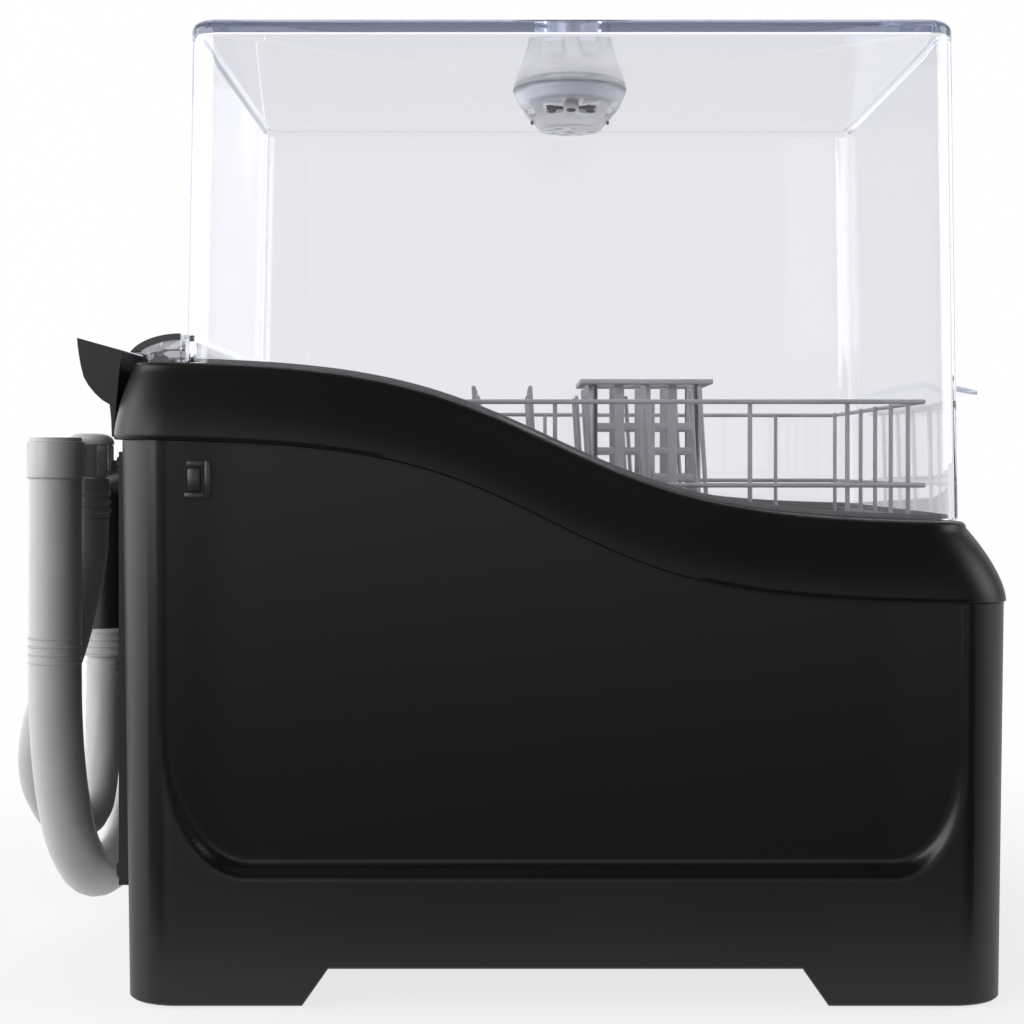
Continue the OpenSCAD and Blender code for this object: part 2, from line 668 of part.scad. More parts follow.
// ---------------------------------------------------------------- drip guard
module drip_guard() {
    z = guard_z;
    t = guard_t;
    back = deck_seam[0] + 0.3;
    lean = deck_crown[0] - 0.3;
    foot = seam_z(rear_x) + 1.5;
    root = hinge_x - knuckle_r - 1.7;
    outer = [[tip_x, z], [tip_x + 0.6, z - 7], [tip_x + 2, z - 15.5], [tip_x + 5.5, z - 22],
        [tip_x + 10.4, z - 27.8], [back - 3.2, z - 31.3], [back - 2.2, foot]];
    inner = [[back - 0.6, foot], [back + 0.4, z - 31], [min(lean, root) - 1.8, z - 13], [root, z - 6]];
    color("#222223") {
        difference() {
            translate([0, guard_w / 2, 0]) rotate([90, 0, 0]) linear_extrude(guard_w)
                polygon(concat(outer, inner));
            translate([0, guard_w / 2 - 2.5, 0]) rotate([90, 0, 0]) linear_extrude(guard_w - 5)
                polygon([[tip_x + t, z + 1], [tip_x + t, z - 6], [tip_x + t + 1.6, z - 14],
                    [tip_x + t + 4.8, z - 19.8], [tip_x + t + 9, z - 24.6], [back - 2, z - 26.5],
                    [root - t, z - 12], [root - t, z + 1]]);
        }
    }
}

// ---------------------------------------------------------------- lid vent
module vent_cap() {
    color("#cfd2d8", 0.5) translate([vent_x, 0, 0]) difference() {
        rotate_extrude($fn = 64) polygon([[8, ceiling_z - 6.5], [vent_neck_r, ceiling_z - 6.5],
            [vent_neck_r, lid_z + 0.1], [vent_cap_r, lid_z + 0.1], [vent_cap_r, lid_z + 1.6],
            [vent_cap_r - 4, lid_z + 3.4], [vent_neck_r, lid_z + 4.5], [8, lid_z + 4.8]]);
        for (i = [0:5]) rotate(60 * i) translate([11, -2, ceiling_z - 8]) cube([6, 4, 20]);
    }
}
module vent_collar() {
    color("#7f848c", 0.7) translate([vent_x, 0, ceiling_z - 7]) difference() {
        cylinder(r = vent_neck_r + 4, h = 6.8, $fn = 64);
        translate([0, 0, -1]) cylinder(r = vent_neck_r + 0.05, h = 9, $fn = 64);
    }
}
module vent_bowl() {
    top = ceiling_z - 0.3;
    r = vent_r;
    h = vent_h;
    color("#dfe1e6", 0.45) translate([vent_x, 0, 0]) difference() {
        rotate_extrude($fn = 64) polygon([
            [0, top - h], [r * 0.55, top - h], [r * 0.72, top - h * 0.75], [r * 0.87, top - h * 0.5],
            [r * 0.96, top - h * 0.24], [r, top], [r - 2, top], [r * 0.96 - 2, top - h * 0.24 + 0.4],
            [vent_neck_r + 4.3, top - h * 0.24 + 0.4], [vent_neck_r + 4.3, top - h * 0.24 - 1.4],
            [r * 0.93 - 2, top - h * 0.3 - 0.8], [r * 0.87 - 2, top - h * 0.5 + 0.6],
            [r * 0.72 - 2, top - h * 0.75 + 1], [r * 0.55 - 1.6, top - h + 2], [0, top - h + 2]]);
        for (a = [-1:1]) rotate(90 * 3 + a * 24) translate([10, -3.2, top - h * 0.56 - 1.6])
            cube([r, 6.4, 3.2]);
        for (a = [0:7]) rotate(45 * a) translate([9, -1.4, top - h - 1]) cube([5, 2.8, 4]);
    }
}

// ---------------------------------------------------------------- rack and basket
module wire(a, b) { rod(a, b, wire_r, 8); }
// four straight wires round the rack at one height
module wire_loop(z) {
    x0 = rack_box[0];
    x1 = rack_box[1];
    y1 = rack_box[2];
    for (x = [x0, x1]) wire([x, -y1 - wire_r, z], [x, y1 + wire_r, z]);
    for (s = [-1, 1]) wire([x0 + wire_r + weld, s * y1, z], [x1 - wire_r - weld, s * y1, z]);
}
// straight wires welded inside the loops: across over lengthwise ones, each with its two uprights
module rack() {
    x0 = rack_box[0];
    x1 = rack_box[1];
    y1 = rack_box[2];
    nx = floor((x1 - x0) / wire_px);
    ny = floor(y1 / wire_py - 0.5);
    in_step = wire_d + weld;
    color("#6d6c73") {
        for (z = [rack_z, ring_z, rim_z]) wire_loop(z);
        for (i = [0:nx]) {
            x = x1 - 36 - i * wire_px;
            y = y1 - in_step;
            z = rack_z + in_step;
            if (x > x0 + 8) {
                for (s = [-1, 1]) wire([x, s * y, z - wire_r], [x, s * y, rim_z]);
                wire([x, wire_r + weld - y, z], [x, y - wire_r - weld, z]);
            }
        }
        for (j = [-ny - 1:ny]) {
            y = (j + 0.5) * wire_py;
            for (x = [x0 + in_step, x1 - in_step])
                wire([x, y, rack_z + wire_r + weld], [x, y, rim_z]);
            wire([x0 + wire_r + weld, y, rack_z], [x1 - wire_r - weld, y, rack_z]);
        }
    }
}
// two rows of plate tines each side, standing on a long wire
module plate_tines() {
    x0 = rack_box[0] + 14;
    n = floor(tine_l / tine_p);
    z0 = rack_z + 2 * (wire_d + weld) + weld;
    color("#6d6c73") for (y = [-rack_box[2] + 34, -tine_y - 6, tine_y + 6, rack_box[2] - 34]) {
        wire([x0 - 6, y, z0], [x0 + n * tine_p + 6, y, z0]);
        for (i = [0:n]) {
            x = x0 + i * tine_p;
            wire([x, y, z0 + wire_r + 3 * weld], [x - 8, y, tine_z]);
        }
    }
}
module cutlery_basket() {
    b = cut_body / 2;
    rim = cut_rim / 2;
    bar = 5;
    n = 4;
    gap = (cut_body - 2 * cut_t - (n - 1) * bar) / n;
    z0 = cut_floor;
    rows = 4;
    row_h = (cut_z - 12 - z0) / rows;
    in = b - cut_t - weld;
    color("#77767c") translate([cut_x, 0, 0]) {
        difference() {
            union() {
                // two full walls, two walls clipped between them, and the floor between all four
                for (s = [0, 1]) mirror([0, s, 0])
                    translate([-b, b - cut_t, z0]) cube([cut_body, cut_t, cut_z - z0]);
                for (s = [0, 1]) mirror([s, 0, 0])
                    translate([b - cut_t, -in, z0]) cube([cut_t, 2 * in, cut_z - z0]);
                translate([-in, -in, z0]) cube([2 * in, 2 * in, cut_t]);
            }
            for (k = [0:rows - 1], i = [0:n - 1]) {
                at_x = cut_t - b + i * (gap + bar);
                at_z = z0 + 6 + k * row_h;
                translate([at_x, -rim, at_z]) cube([gap, cut_rim, row_h - bar]);
                translate([-rim, at_x, at_z]) cube([cut_rim, gap, row_h - bar]);
            }
            for (i = [0:n - 1], j = [0:n - 1])
                translate([cut_t - b + i * (gap + bar), cut_t - b + j * (gap + bar), z0 - 1])
                    cube([gap, gap, cut_t + 2]);
        }
        // rim frame clipped round the top of the walls
        difference() {
            translate([-rim, -rim, cut_z - 2.6]) cube([cut_rim, cut_rim, 2.6]);
            translate([-b - 0.1, -b - 0.1, cut_z - 4]) cube([cut_body + 0.2, cut_body + 0.2, 6]);
        }
    }
}

// ---------------------------------------------------------------- water parts
float_x = basin[1] - 21;
float_y = 21 - basin[2];
heater_x = basin[0] + 18;
heater_d = 7;
heater_leg = 70;
fill_in_z = 160;
module sump() {
    color("#8b8e92") translate([wash_x, 0, 0]) difference() {
        union() {
            translate([0, 0, sump_z - tub_t]) cylinder(r = sump_r, h = floor_z - sump_z - 0.3, $fn = 64);
            translate([-sump_r - 30, -12, sump_z - tub_t]) cube([40, 24, 14]);
        }
        translate([0, 0, sump_z]) cylinder(r = sump_r - tub_t, h = 40, $fn = 64);
        translate([0, 0, sump_z - tub_t - 1]) cylinder(r = 9.2, h = 10, $fn = 48);
        translate([-sump_r - 32, 0, sump_z + 5]) rotate([0, 90, 0]) cylinder(r = 4.5, h = 46, $fn = 32);
    }
}
// ring-shaped filter that turns in the sump, round the spray post
module filter_cup() {
    color("#9aa0a6") translate([wash_x, 0, 0]) difference() {
        union() {
            translate([0, 0, sump_z + 0.6]) cylinder(r = filter_r, h = floor_z - sump_z + 2, $fn = 64);
            translate([0, 0, floor_z + 0.3]) cylinder(r = sump_r + 2, h = 2.3, $fn = 64);
        }
        translate([0, 0, sump_z + 3]) difference() {
            cylinder(r = filter_r - 2, h = 40, $fn = 64);
            cylinder(r = 13.3, h = 40, $fn = 64);
        }
        translate([0, 0, sump_z]) cylinder(r = 11.3, h = 40, $fn = 48);
        for (i = [0:11]) rotate(30 * i) translate([filter_r - 6, -3, sump_z + 6]) cube([10, 6, 14]);
    }
}
module spray_post() {
    color("#a5a8ac") translate([wash_x, 0, 0]) difference() {
        union() {
            translate([0, 0, housing_z1]) cylinder(r = 9, h = arm_z - 0.4 - housing_z1, $fn = 48);
            translate([0, 0, housing_z1]) cylinder(r = post_r, h = nozzle_z + 0.4 - housing_z1, $fn = 48);
        }
        translate([0, 0, housing_z1 - 1]) cylinder(r = post_r - 2, h = 80, $fn = 48);
    }
}
module spray_arm() {
    half = arm_l / 2;
    color("#8f9398") translate([wash_x, 0, 0]) difference() {
        union() {
            translate([0, 0, arm_z]) cylinder(r = 16, h = nozzle_z - arm_z, $fn = 64);
            for (s = [-1, 1]) hull() {
                translate([0, 0, arm_z]) cylinder(r = 13, h = 8, $fn = 32);
                translate([s * (half - 9), 0, arm_z + 1]) cylinder(r = 9, h = 5, $fn = 32);
            }
        }
        translate([0, 0, arm_z - 1]) cylinder(r = post_r + spin_gap, h = 20, $fn = 48);
        for (s = [-1, 1], k = [0:3])
            translate([s * (30 + k * 20), s * 3, arm_z - 1]) cylinder(r = 1.4, h = 20, $fn = 16);
    }
}
module spray_nut() {
    color("#7d8186") translate([wash_x, 0, nozzle_z + 0.4]) difference() {
        cylinder(r = 11, h = 5, $fn = 48);
        translate([0, 0, -1]) cylinder(r = 2.5, h = 8, $fn = 24);
    }
}
module pump_housing() {
    color("#303133") translate([wash_x, 0, 0]) difference() {
        union() {
            translate([0, 0, housing_z0]) cylinder(r = pump_r, h = housing_z1 - housing_z0 - 0.1, $fn = 64);
            for (a = [0:2]) rotate(120 * a) translate([pump_r - 2, -5, arch_h + 3.1])
                cube([10, 10, housing_z0 + 6 - arch_h]);
        }
        translate([0, 0, housing_z0 + 3]) cylinder(r = pump_r - 4, h = housing_z1 - housing_z0 - 6, $fn = 64);
        translate([0, 0, housing_z1 - 4]) cylinder(r = 5, h = 10, $fn = 32);
        translate([0, 0, housing_z0 - 1]) cylinder(r = shaft_r + spin_gap, h = 6, $fn = 32);
    }
}
module impeller() {
    z0 = housing_z0 + 5;
    color("#d8d8da") translate([wash_x, 0, 0]) {
        translate([0, 0, z0]) cylinder(r = impeller_r, h = 2, $fn = 64);
        for (i = [0:5]) rotate(60 * i) translate([6, -1, z0 + 2]) cube([impeller_r - 8, 2, 8]);
        translate([0, 0, z0]) cylinder(r = 8, h = 10, $fn = 32);
        translate([0, 0, housing_z0 - 6]) cylinder(r = shaft_r, h = 12, $fn = 32);
    }
}
module pump_motor() {
    color("#54565a") translate([wash_x, 0, 0]) difference() {
        translate([0, 0, arch_h + 3.1]) cylinder(r = motor_r, h = housing_z0 - arch_h - 3.2, $fn = 64);
        translate([0, 0, housing_z0 - 8]) cylinder(r = shaft_r + spin_gap, h = 10, $fn = 32);
    }
}
module heater() {
    r = heater_d / 2;
    z = floor_z + r + 0.6;
    far = basin[1] - 40;
    y1 = basin[2] - 6 - r;
    color("#9c9da0") {
        for (s = [-1, 1]) {
            pipe([[heater_x, s * heater_leg, floor_z - 16], [heater_x, s * heater_leg, z],
                [heater_x, s * y1, z], [far, s * y1, z]], r);
        }
        for (s = [-1, 1]) translate([far, s * y1, z]) sphere(r, $fn = 24);
    }
}
module drain_pump() {
    color("#35373a") translate([drain_pump_x, drain_pump_y, drain_pump_z]) {
        difference() {
            union() {
                rotate([0, 90, 0]) cylinder(r = drain_pump_r, h = 30, $fn = 48);
                translate([30, 0, 0]) rotate([0, 90, 0]) cylinder(r = drain_pump_r - 5, h = 26, $fn = 48);
                translate([4, -10, arch_h + 3.1 - drain_pump_z]) cube([20, 20, 16]);
            }
            translate([3, 0, 0]) rotate([0, 90, 0]) cylinder(r = drain_pump_r - 3, h = 16, $fn = 48);
            translate([12, 0, 0]) rotate([0, 90, 0]) cylinder(r = 2.05, h = 16, $fn = 24);
            translate([-1, 0, 0]) rotate([0, 90, 0]) cylinder(r = 4.5, h = 8, $fn = 32);
        }
    }
}
module drain_impeller() {
    color("#d8d8da") translate([drain_pump_x + 6, drain_pump_y, drain_pump_z]) rotate([0, 90, 0]) {
        cylinder(r = 2, h = 18, $fn = 24);
        for (i = [0:3]) rotate(90 * i) translate([1, -0.8, 1]) cube([12, 1.6, 7]);
    }
}
module drain_pipe() {
    x0 = drain_pump_x - 0.1;
    y0 = drain_pump_y;
    z0 = drain_pump_z;
    color("#4a4c50") difference() {
        pipe([[x0, y0, z0], [duct_x, y0, z0], [duct_x, drain_duct_y, z0],
            [duct_x, drain_duct_y, pipe_z], [rear_x + 1.2, drain_duct_y, pipe_z]], 8);
        rod([x0 + 1, y0, z0], [x0 - 12, y0, z0], 4.5);
    }
}
module inlet_valve() {
    color("#e3e3e0") translate([duct_x, fill_duct_y, 0]) {
        difference() {
            translate([-12, -14, valve_z]) cube([24, 28, valve_h]);
            translate([0, 0, valve_z + valve_h / 2]) cylinder(r = 5, h = valve_h, $fn = 24);
        }
        translate([0, 14, valve_z + 6]) cube([10, 10, valve_h / 2]);
        translate([-6, -6, valve_z - 12]) cube([12, 12, 12]);
    }
}
module fill_pipe() {
    color("#4a4c50") {
        pipe([[rear_x + 1.2, fill_duct_y, pipe_z], [duct_x, fill_duct_y, pipe_z],
            [duct_x, fill_duct_y, valve_z + valve_h + 0.2]], 7);
        pipe([[duct_x, fill_duct_y, fill_in_z], [mouth[0] - 0.4, fill_duct_y, fill_in_z]], 6);
    }
}
// float that rises in the tub's corner if the water stands too high
module float_cap() {
    color("#d9d9d6") translate([float_x, float_y, 0]) difference() {
        union() {
            translate([0, 0, floor_z + 0.3]) cylinder(r = 11, h = 14, $fn = 48);
            translate([0, 0, floor_z - 18]) cylinder(r = 5, h = 20, $fn = 32);
        }
        translate([0, 0, floor_z - 19]) cylinder(r = 3, h = 28, $fn = 24);
    }
}

// ---------------------------------------------------------------- controls
module control_board() {
    x = front_x - case_t - 7;
    z = (window_z0 + window_z1 - board_h) / 2;
    color("#2f5a44") {
        translate([x - 1.6, -board_w / 2, z]) cube([1.6, board_w, board_h]);
        for (y = [-26, 0, 26]) translate([x, y - 3, z + board_h / 2 - 4]) cube([1.4, 6, 6]);
        for (y = [-42, 30]) translate([x - 12, y, z + 4]) cube([10.4, 12, board_h - 10]);
    }
}
module control_panel() {
    z = (window_z0 + window_z1) / 2;
    color("#101012") difference() {
        union() {
            translate([front_x - case_t, -window_y + 0.2, window_z0 + 0.2])
                cube([case_t, 2 * window_y - 0.4, window_z1 - window_z0 - 0.4]);
            for (s = [-1, 1]) translate([front_x - case_t - 6.9, s * 50 - 3, z - 3])
                cube([6.9, 6, 6]);
        }
        for (y = [-26, 0, 26]) translate([front_x - case_t - 1, y, z]) rotate([0, 90, 0])
            cylinder(r = button_r + 0.08, h = case_t + 2, $fn = 48);
    }
}
module button(y) {
    z = (window_z0 + window_z1) / 2;
    color("#2c2d30") {
        translate([front_x - case_t - 2.2, y, z]) rotate([0, 90, 0])
            cylinder(r = button_r, h = case_t + 2.8, $fn = 48);
        translate([front_x - case_t - 2.2, y, z]) rotate([0, 90, 0])
            cylinder(r = button_r + 1.5, h = 1.6, $fn = 48);
    }
}
module button_power() { button(-26); }
module button_program() { button(0); }
module button_start() { button(26); }
// rocker switch standing on the sunk side panel, next to the deck's seam
module switch_bezel() {
    x0 = switch_x - switch_w / 2;
    z0 = switch_z - switch_h / 2;
    color("#262628") difference() {
        union() {
            translate([x0, -recess_y - 3, z0]) cube([switch_w, 3 - seam_gap, switch_h]);
            translate([x0 + 2.2, -recess_y - 1, z0 + 2.2]) cube([switch_w - 4.4, 16, switch_h - 4.4]);
        }
        translate([switch_x, -recess_y + 3, z0 + 3]) cylinder(r = 5.3, h = switch_h - 6, $fn = 48);
        translate([switch_x - 4.6, -recess_y - 4, z0 + 3]) cube([9.2, 6, switch_h - 6]);
    }
}
module switch_rocker() {
    z0 = switch_z - switch_h / 2 + 3.3;
    h = switch_h - 6.6;
    color("#303033") {
        translate([switch_x, -recess_y + 3, z0]) cylinder(r = 4.95, h = h, $fn = 48);
        translate([switch_x - 3, -recess_y - 4.4, z0]) cube([6, 6, h]);
    }
}

// ---------------------------------------------------------------- rear
module rear_panel() {
    y0 = -panel_w / 2;
    color("#19191a") difference() {
        translate([panel_x, y0, panel_z0]) cube([panel_out - 0.1, panel_w, panel_z1 - panel_z0]);
        for (p = [[drain_duct_y, 8.3], [fill_duct_y, 7.3]])
            translate([panel_x - 1, p[0], pipe_z]) rotate([0, 90, 0])
                cylinder(r = p[1], h = panel_out + 2, $fn = 48);
        for (y = screw_y, z = screw_z) translate([panel_x - 1, y, z]) rotate([0, 90, 0])
            cylinder(r = 2, h = panel_out + 2, $fn = 24);
        translate([panel_x - 1, inlet_y - 13.5, inlet_z - 10]) cube([panel_out + 2, 27, 20]);
        for (i = [0:5]) translate([panel_x - 1, -20 + i * 12, 66]) cube([panel_out + 2, 5, 34]);
    }
}
screw_y = [screw_in - panel_w / 2, panel_w / 2 - screw_in];
screw_z = [panel_z0 + screw_in, (panel_z0 + panel_z1) / 2, panel_z1 - screw_in];
inlet_y = -30;
inlet_z = 150;
module rear_screws() {
    color("#8a8b8e") for (y = screw_y, z = screw_z) translate([panel_x - 1.6, y, z]) {
        rotate([0, 90, 0]) cylinder(r = 3.6, h = 1.5, $fn = 24);
        rotate([0, 90, 0]) cylinder(r = 1.9, h = panel_out + 1.4, $fn = 24);
    }
}
module power_inlet() {
    color("#141415") translate([panel_x - 1.5, inlet_y, inlet_z]) difference() {
        union() {
            translate([0, -16, -12.5]) cube([1.4, 32, 25]);
            translate([0, -13.3, -9.8]) cube([20, 26.6, 19.6]);
        }
        translate([-1, -12, -8.5]) cube([17, 24, 17]);
    }
    color("#c9c9c4") for (y = [-7, 0, 7])
        translate([panel_x + 2, inlet_y + y - 1, inlet_z - 2 + (y == 0 ? 4 : 0)]) cube([13, 2, 4]);
}
// elbow pipe from the rear panel, turned down to the hose
module outlet(end, duct_y, r) {
    z0 = end[2];
    color("#151516") difference() {
        union() {
            translate([end[0], end[1], z0]) cylinder(r = r, h = pipe_z - z0, $fn = 48);
            translate([end[0], end[1], pipe_z]) sphere(r, $fn = 48);
            translate([end[0], duct_y, pipe_z]) rotate([0, 90, 0])
                cylinder(r = r, h = panel_x - 0.1 - end[0], $fn = 48);
            translate([panel_x - 3, duct_y, pipe_z]) rotate([0, 90, 0])
                cylinder(r = r + 4, h = 2.9, $fn = 48);
        }
        translate([end[0], end[1], z0 - 1]) cylinder(r = r - 3, h = pipe_z - z0 + 1, $fn = 32);
    }
}
module drain_outlet() { outlet(drain_end, drain_duct_y, drain_d / 2 - 1); }
module fill_inlet() { outlet(fill_end, fill_duct_y, fill_d / 2 + 0.5); }
// bracket on the rear panel that holds the parked end fittings
module hose_holder() {
    y0 = drain_top[1] - 8;
    y1 = fill_top[1] + 10;
    reach = fill_top[0] + fill_cap_d / 2 + 0.4;
    color("#17171a") {
        translate([panel_x - 3, y0, cap_z + 1]) cube([2.9, y1 - y0, 12]);
        translate([reach, fill_top[1] - 7, cap_z + 3]) cube([panel_x - 3 - reach, 14, 6]);
    }
}
module drain_hose() {
    color("#c9c9ca") hose(drain_route, drain_d, 1);
}
module fill_hose() {
    color("#c2c2c4") hose(fill_route, fill_d, 1);
}
// ribbed end of a hose, pushed over its pipe
module cuff(end, d) {
    color("#b9b9bb") translate(end) difference() {
        union() {
            cylinder(r = d / 2 + 0.6, h = 16, $fn = 48);
            for (k = [0:3]) translate([0, 0, 1 + 4 * k]) cylinder(r = d / 2 + 1.5, h = 2, $fn = 48);
        }
        translate([0, 0, -1]) cylinder(r = d / 2 - 1, h = 20, $fn = 48);
    }
}
module drain_cuff() { cuff(drain_end + [0, 0, 0], drain_d + 1); }
module fill_cuff() { cuff(fill_end + [0, 0, 0], fill_d + 3.2); }
// plain round end fitting of the drain hose, open at the top
module drain_fitting() {
    r = drain_cap_d / 2;
    apart = norm([fill_top[0] - drain_top[0], fill_top[1] - drain_top[1]]);
    web_l = apart - r - fill_cap_d / 2 - 0.4;
    color("#bdbdc0") translate([drain_top[0], drain_top[1], cap_z + 0.1]) difference() {
        union() {
            cylinder(r = r, h = cap_h - 2, $fn = 64);
            cylinder(r = r - 1.2, h = cap_h, $fn = 64);
        }
        translate([0, 0, 6]) cylinder(r = 9, h = cap_h, $fn = 48);
    }
    // web that rests on the tap fitting beside it
    color("#bdbdc0") translate([drain_top[0], drain_top[1], cap_z + 5])
        rotate(atan2(fill_top[1] - drain_top[1], fill_top[0] - drain_top[0]))
            translate([r - 1, -3, 0]) cube([web_l + 1, 6, 9]);
}
// tap fitting of the fill hose: domed head with four spring claws
module fill_fitting() {
    r = fill_cap_d / 2;
    z = cap_z + 0.1;
    color("#d6d6d8") translate([fill_top[0], fill_top[1], 0]) {
        difference() {
            translate([0, 0, z]) cylinder(r = r - 3, h = cap_h, $fn = 64);
            translate([0, 0, z + 8]) cylinder(r = 5, h = cap_h, $fn = 32);
        }
        rotate_extrude($fn = 64) polygon([[5, z + cap_h - 3.5], [r, z + cap_h - 3.5],
            [r, z + cap_h - 1.5], [r * 0.75, z + cap_h + 1.2], [5, z + cap_h + 2.6]]);
        for (a = [0:5]) rotate(60 * a + 15) {
            translate([r - 2.6, -2.5, z + 1]) cube([2.4, 5, cap_h - 4]);
            translate([r - 4, -2.5, z + 1]) cube([3.4, 5, 3]);
        }
    }
}
// ribbed sleeve between the fill hose and its tap fitting
module fill_sleeve() {
    r = fill_d / 2;
    color("#b9b9bb") translate([fill_top[0], fill_top[1], fill_top[2] + 0.1]) {
        cylinder(r = r, h = cap_z - fill_top[2] - 0.2, $fn = 48);
        for (k = [0:2]) translate([0, 0, 2 + 4.5 * k]) cylinder(r = r + 1, h = 2, $fn = 48);
    }
}

case_shell();
base_plate();
foot_pad_rl();
foot_pad_rr();
foot_pad_fl();
foot_pad_fr();
deck();
tub();
deck_seal();
hinge_block_l();
hinge_block_r();
hinge_pin_l();
hinge_pin_r();
drip_guard();
lid();
lid_cowl();
lid_arm_l();
lid_arm_r();
vent_cap();
vent_collar();
vent_bowl();
rack();
plate_tines();
cutlery_basket();
sump();
filter_cup();
spray_post();
spray_arm();
spray_nut();
pump_housing();
impeller();
pump_motor();
heater();
drain_pump();
drain_impeller();
drain_pipe();
inlet_valve();
fill_pipe();
float_cap();
control_board();
control_panel();
button_power();
button_program();
button_start();
switch_bezel();
switch_rocker();
rear_panel();
rear_screws();
power_inlet();
drain_outlet();
fill_inlet();
hose_holder();
drain_hose();
fill_hose();
drain_cuff();
fill_cuff();
drain_fitting();
fill_fitting();
fill_sleeve();
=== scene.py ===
import math

import bmesh
import bpy
from mathutils import Matrix, Vector


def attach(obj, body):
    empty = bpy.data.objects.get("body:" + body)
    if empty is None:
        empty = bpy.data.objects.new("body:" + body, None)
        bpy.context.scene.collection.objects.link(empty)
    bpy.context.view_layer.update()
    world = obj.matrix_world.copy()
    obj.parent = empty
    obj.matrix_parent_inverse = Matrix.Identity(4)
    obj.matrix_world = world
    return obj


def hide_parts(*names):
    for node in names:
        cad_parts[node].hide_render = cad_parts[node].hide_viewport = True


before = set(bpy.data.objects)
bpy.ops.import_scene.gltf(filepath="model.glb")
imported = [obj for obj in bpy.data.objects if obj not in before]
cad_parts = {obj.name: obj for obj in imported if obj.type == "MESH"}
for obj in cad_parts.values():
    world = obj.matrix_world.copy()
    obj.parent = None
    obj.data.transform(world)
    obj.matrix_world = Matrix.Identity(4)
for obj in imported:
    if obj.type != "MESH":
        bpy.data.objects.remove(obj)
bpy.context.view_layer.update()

# ---------------------------------------------------------------- camera
# The machine is seen square on to its side, from a metre away and at half its height.
# The lens is shifted down a little, so that the feet and the lid both fit.
eye = bpy.data.cameras.new("camera")
eye.sensor_width = 36
eye.lens = 69.29
eye.shift_x = 0.0049
eye.shift_y = -0.0498
camera = bpy.data.objects.new("camera", eye)
camera.location = (-0.0187, -1.0745, 0.2506)
camera.rotation_euler = (math.radians(90), 0, 0)
bpy.context.scene.collection.objects.link(camera)
bpy.context.scene.camera = camera

# ---------------------------------------------------------------- hoses
# Two flexible PVC hoses hang behind the machine in a pair of loops. Each leaves a ribbed
# cuff on its elbow pipe and runs down, across and up to its own end fitting, parked on a
# bracket at the other side of the rear panel.


def add_node(tree, kind, sockets={}, links={}, **properties):
    """Adds a node, sets its properties and sockets, and links what feeds it."""
    added = tree.nodes.new(kind)
    for name, value in properties.items():
        setattr(added, name, value)
    for name, value in sockets.items():
        added.inputs[name].default_value = value
    for name, source in links.items():
        tree.links.new(source, added.inputs[name])
    return added


def maths(tree, operation, *terms):
    """Adds one sum, of numbers and of what other nodes give, and returns its result."""
    added = tree.nodes.new("ShaderNodeMath")
    added.operation = operation
    for slot, term in enumerate(terms):
        if isinstance(term, (int, float)):
            added.inputs[slot].default_value = term
        else:
            tree.links.new(term, added.inputs[slot])
    return added.outputs[0]


def ramp(tree, value, start, stop, low=0.0, high=1.0):
    """Turns the run of a value from start to stop into one from low to high."""
    limits = {"From Min": start, "From Max": stop, "To Min": low, "To Max": high}
    return add_node(tree, "ShaderNodeMapRange", limits, {"Value": value}).outputs["Result"]


def noise(tree, scale, detail):
    """Cloudy noise that stays with the piece, between 0 and 1; scale is its grain per metre."""
    place = add_node(tree, "ShaderNodeTexCoord").outputs["Object"]
    return add_node(tree, "ShaderNodeTexNoise", {"Scale": scale, "Detail": detail},
        {"Vector": place}).outputs["Fac"]


def linear(code):
    """Turns an sRGB hex colour into the linear colour that the shaders take."""
    parts = [int(code[i:i + 2], 16) / 255 for i in (1, 3, 5)]
    return [p / 12.92 if p <= 0.04045 else ((p + 0.055) / 1.055) ** 2.4 for p in parts] + [1]


def blank(name):
    """Makes a node material: itself, its node tree and its surface node."""
    made = bpy.data.materials.new(name)
    made.use_nodes = True
    return made, made.node_tree, made.node_tree.nodes["Principled BSDF"]


def moulded(name, dark, light, rough, grain=0.5, relief=0.02, patch=60, ior=1.5):
    """Moulded plastic or rubber: a faint cloudiness in the colour, and the fine grain that
    the mould's spark-eroded wall leaves. The grain and the patches are given in mm."""
    made, tree, surface = blank(name)
    surface.inputs["IOR"].default_value = ior
    cloud = noise(tree, 1000 / patch, 3)
    tint = add_node(tree, "ShaderNodeValToRGB", {}, {"Fac": cloud})
    tint.color_ramp.elements[0].position = 0.35
    tint.color_ramp.elements[1].position = 0.65
    tint.color_ramp.elements[0].color = linear(dark)
    tint.color_ramp.elements[1].color = linear(light)
    tree.links.new(tint.outputs["Color"], surface.inputs["Base Color"])
    tree.links.new(ramp(tree, cloud, 0, 1, rough - 0.05, rough + 0.05),
        surface.inputs["Roughness"])
    bump = add_node(tree, "ShaderNodeBump", {"Strength": 0.25, "Distance": relief / 1000},
        {"Height": noise(tree, 1000 / grain, 2)})
    tree.links.new(bump.outputs["Normal"], surface.inputs["Normal"])
    return made


def hang_hose(name, route, diameter, material, node):
    """Draws one smooth open spline through the route, as thick as the hose."""
    line = bpy.data.curves.new(name, "CURVE")
    line.dimensions = "3D"
    line.resolution_u = 12
    line.bevel_depth = diameter / 2
    line.bevel_resolution = 6
    line.use_fill_caps = True
    spline = line.splines.new("BEZIER")
    spline.bezier_points.add(len(route) - 1)
    for point, place in zip(spline.bezier_points, route):
        point.co = [c / 1000 for c in place]
        point.handle_left_type = point.handle_right_type = "AUTO"
    line.materials.append(material)
    hose = bpy.data.objects.new(name, line)
    bpy.context.scene.collection.objects.link(hose)
    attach(hose, "machine")
    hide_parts(node)
    return hose


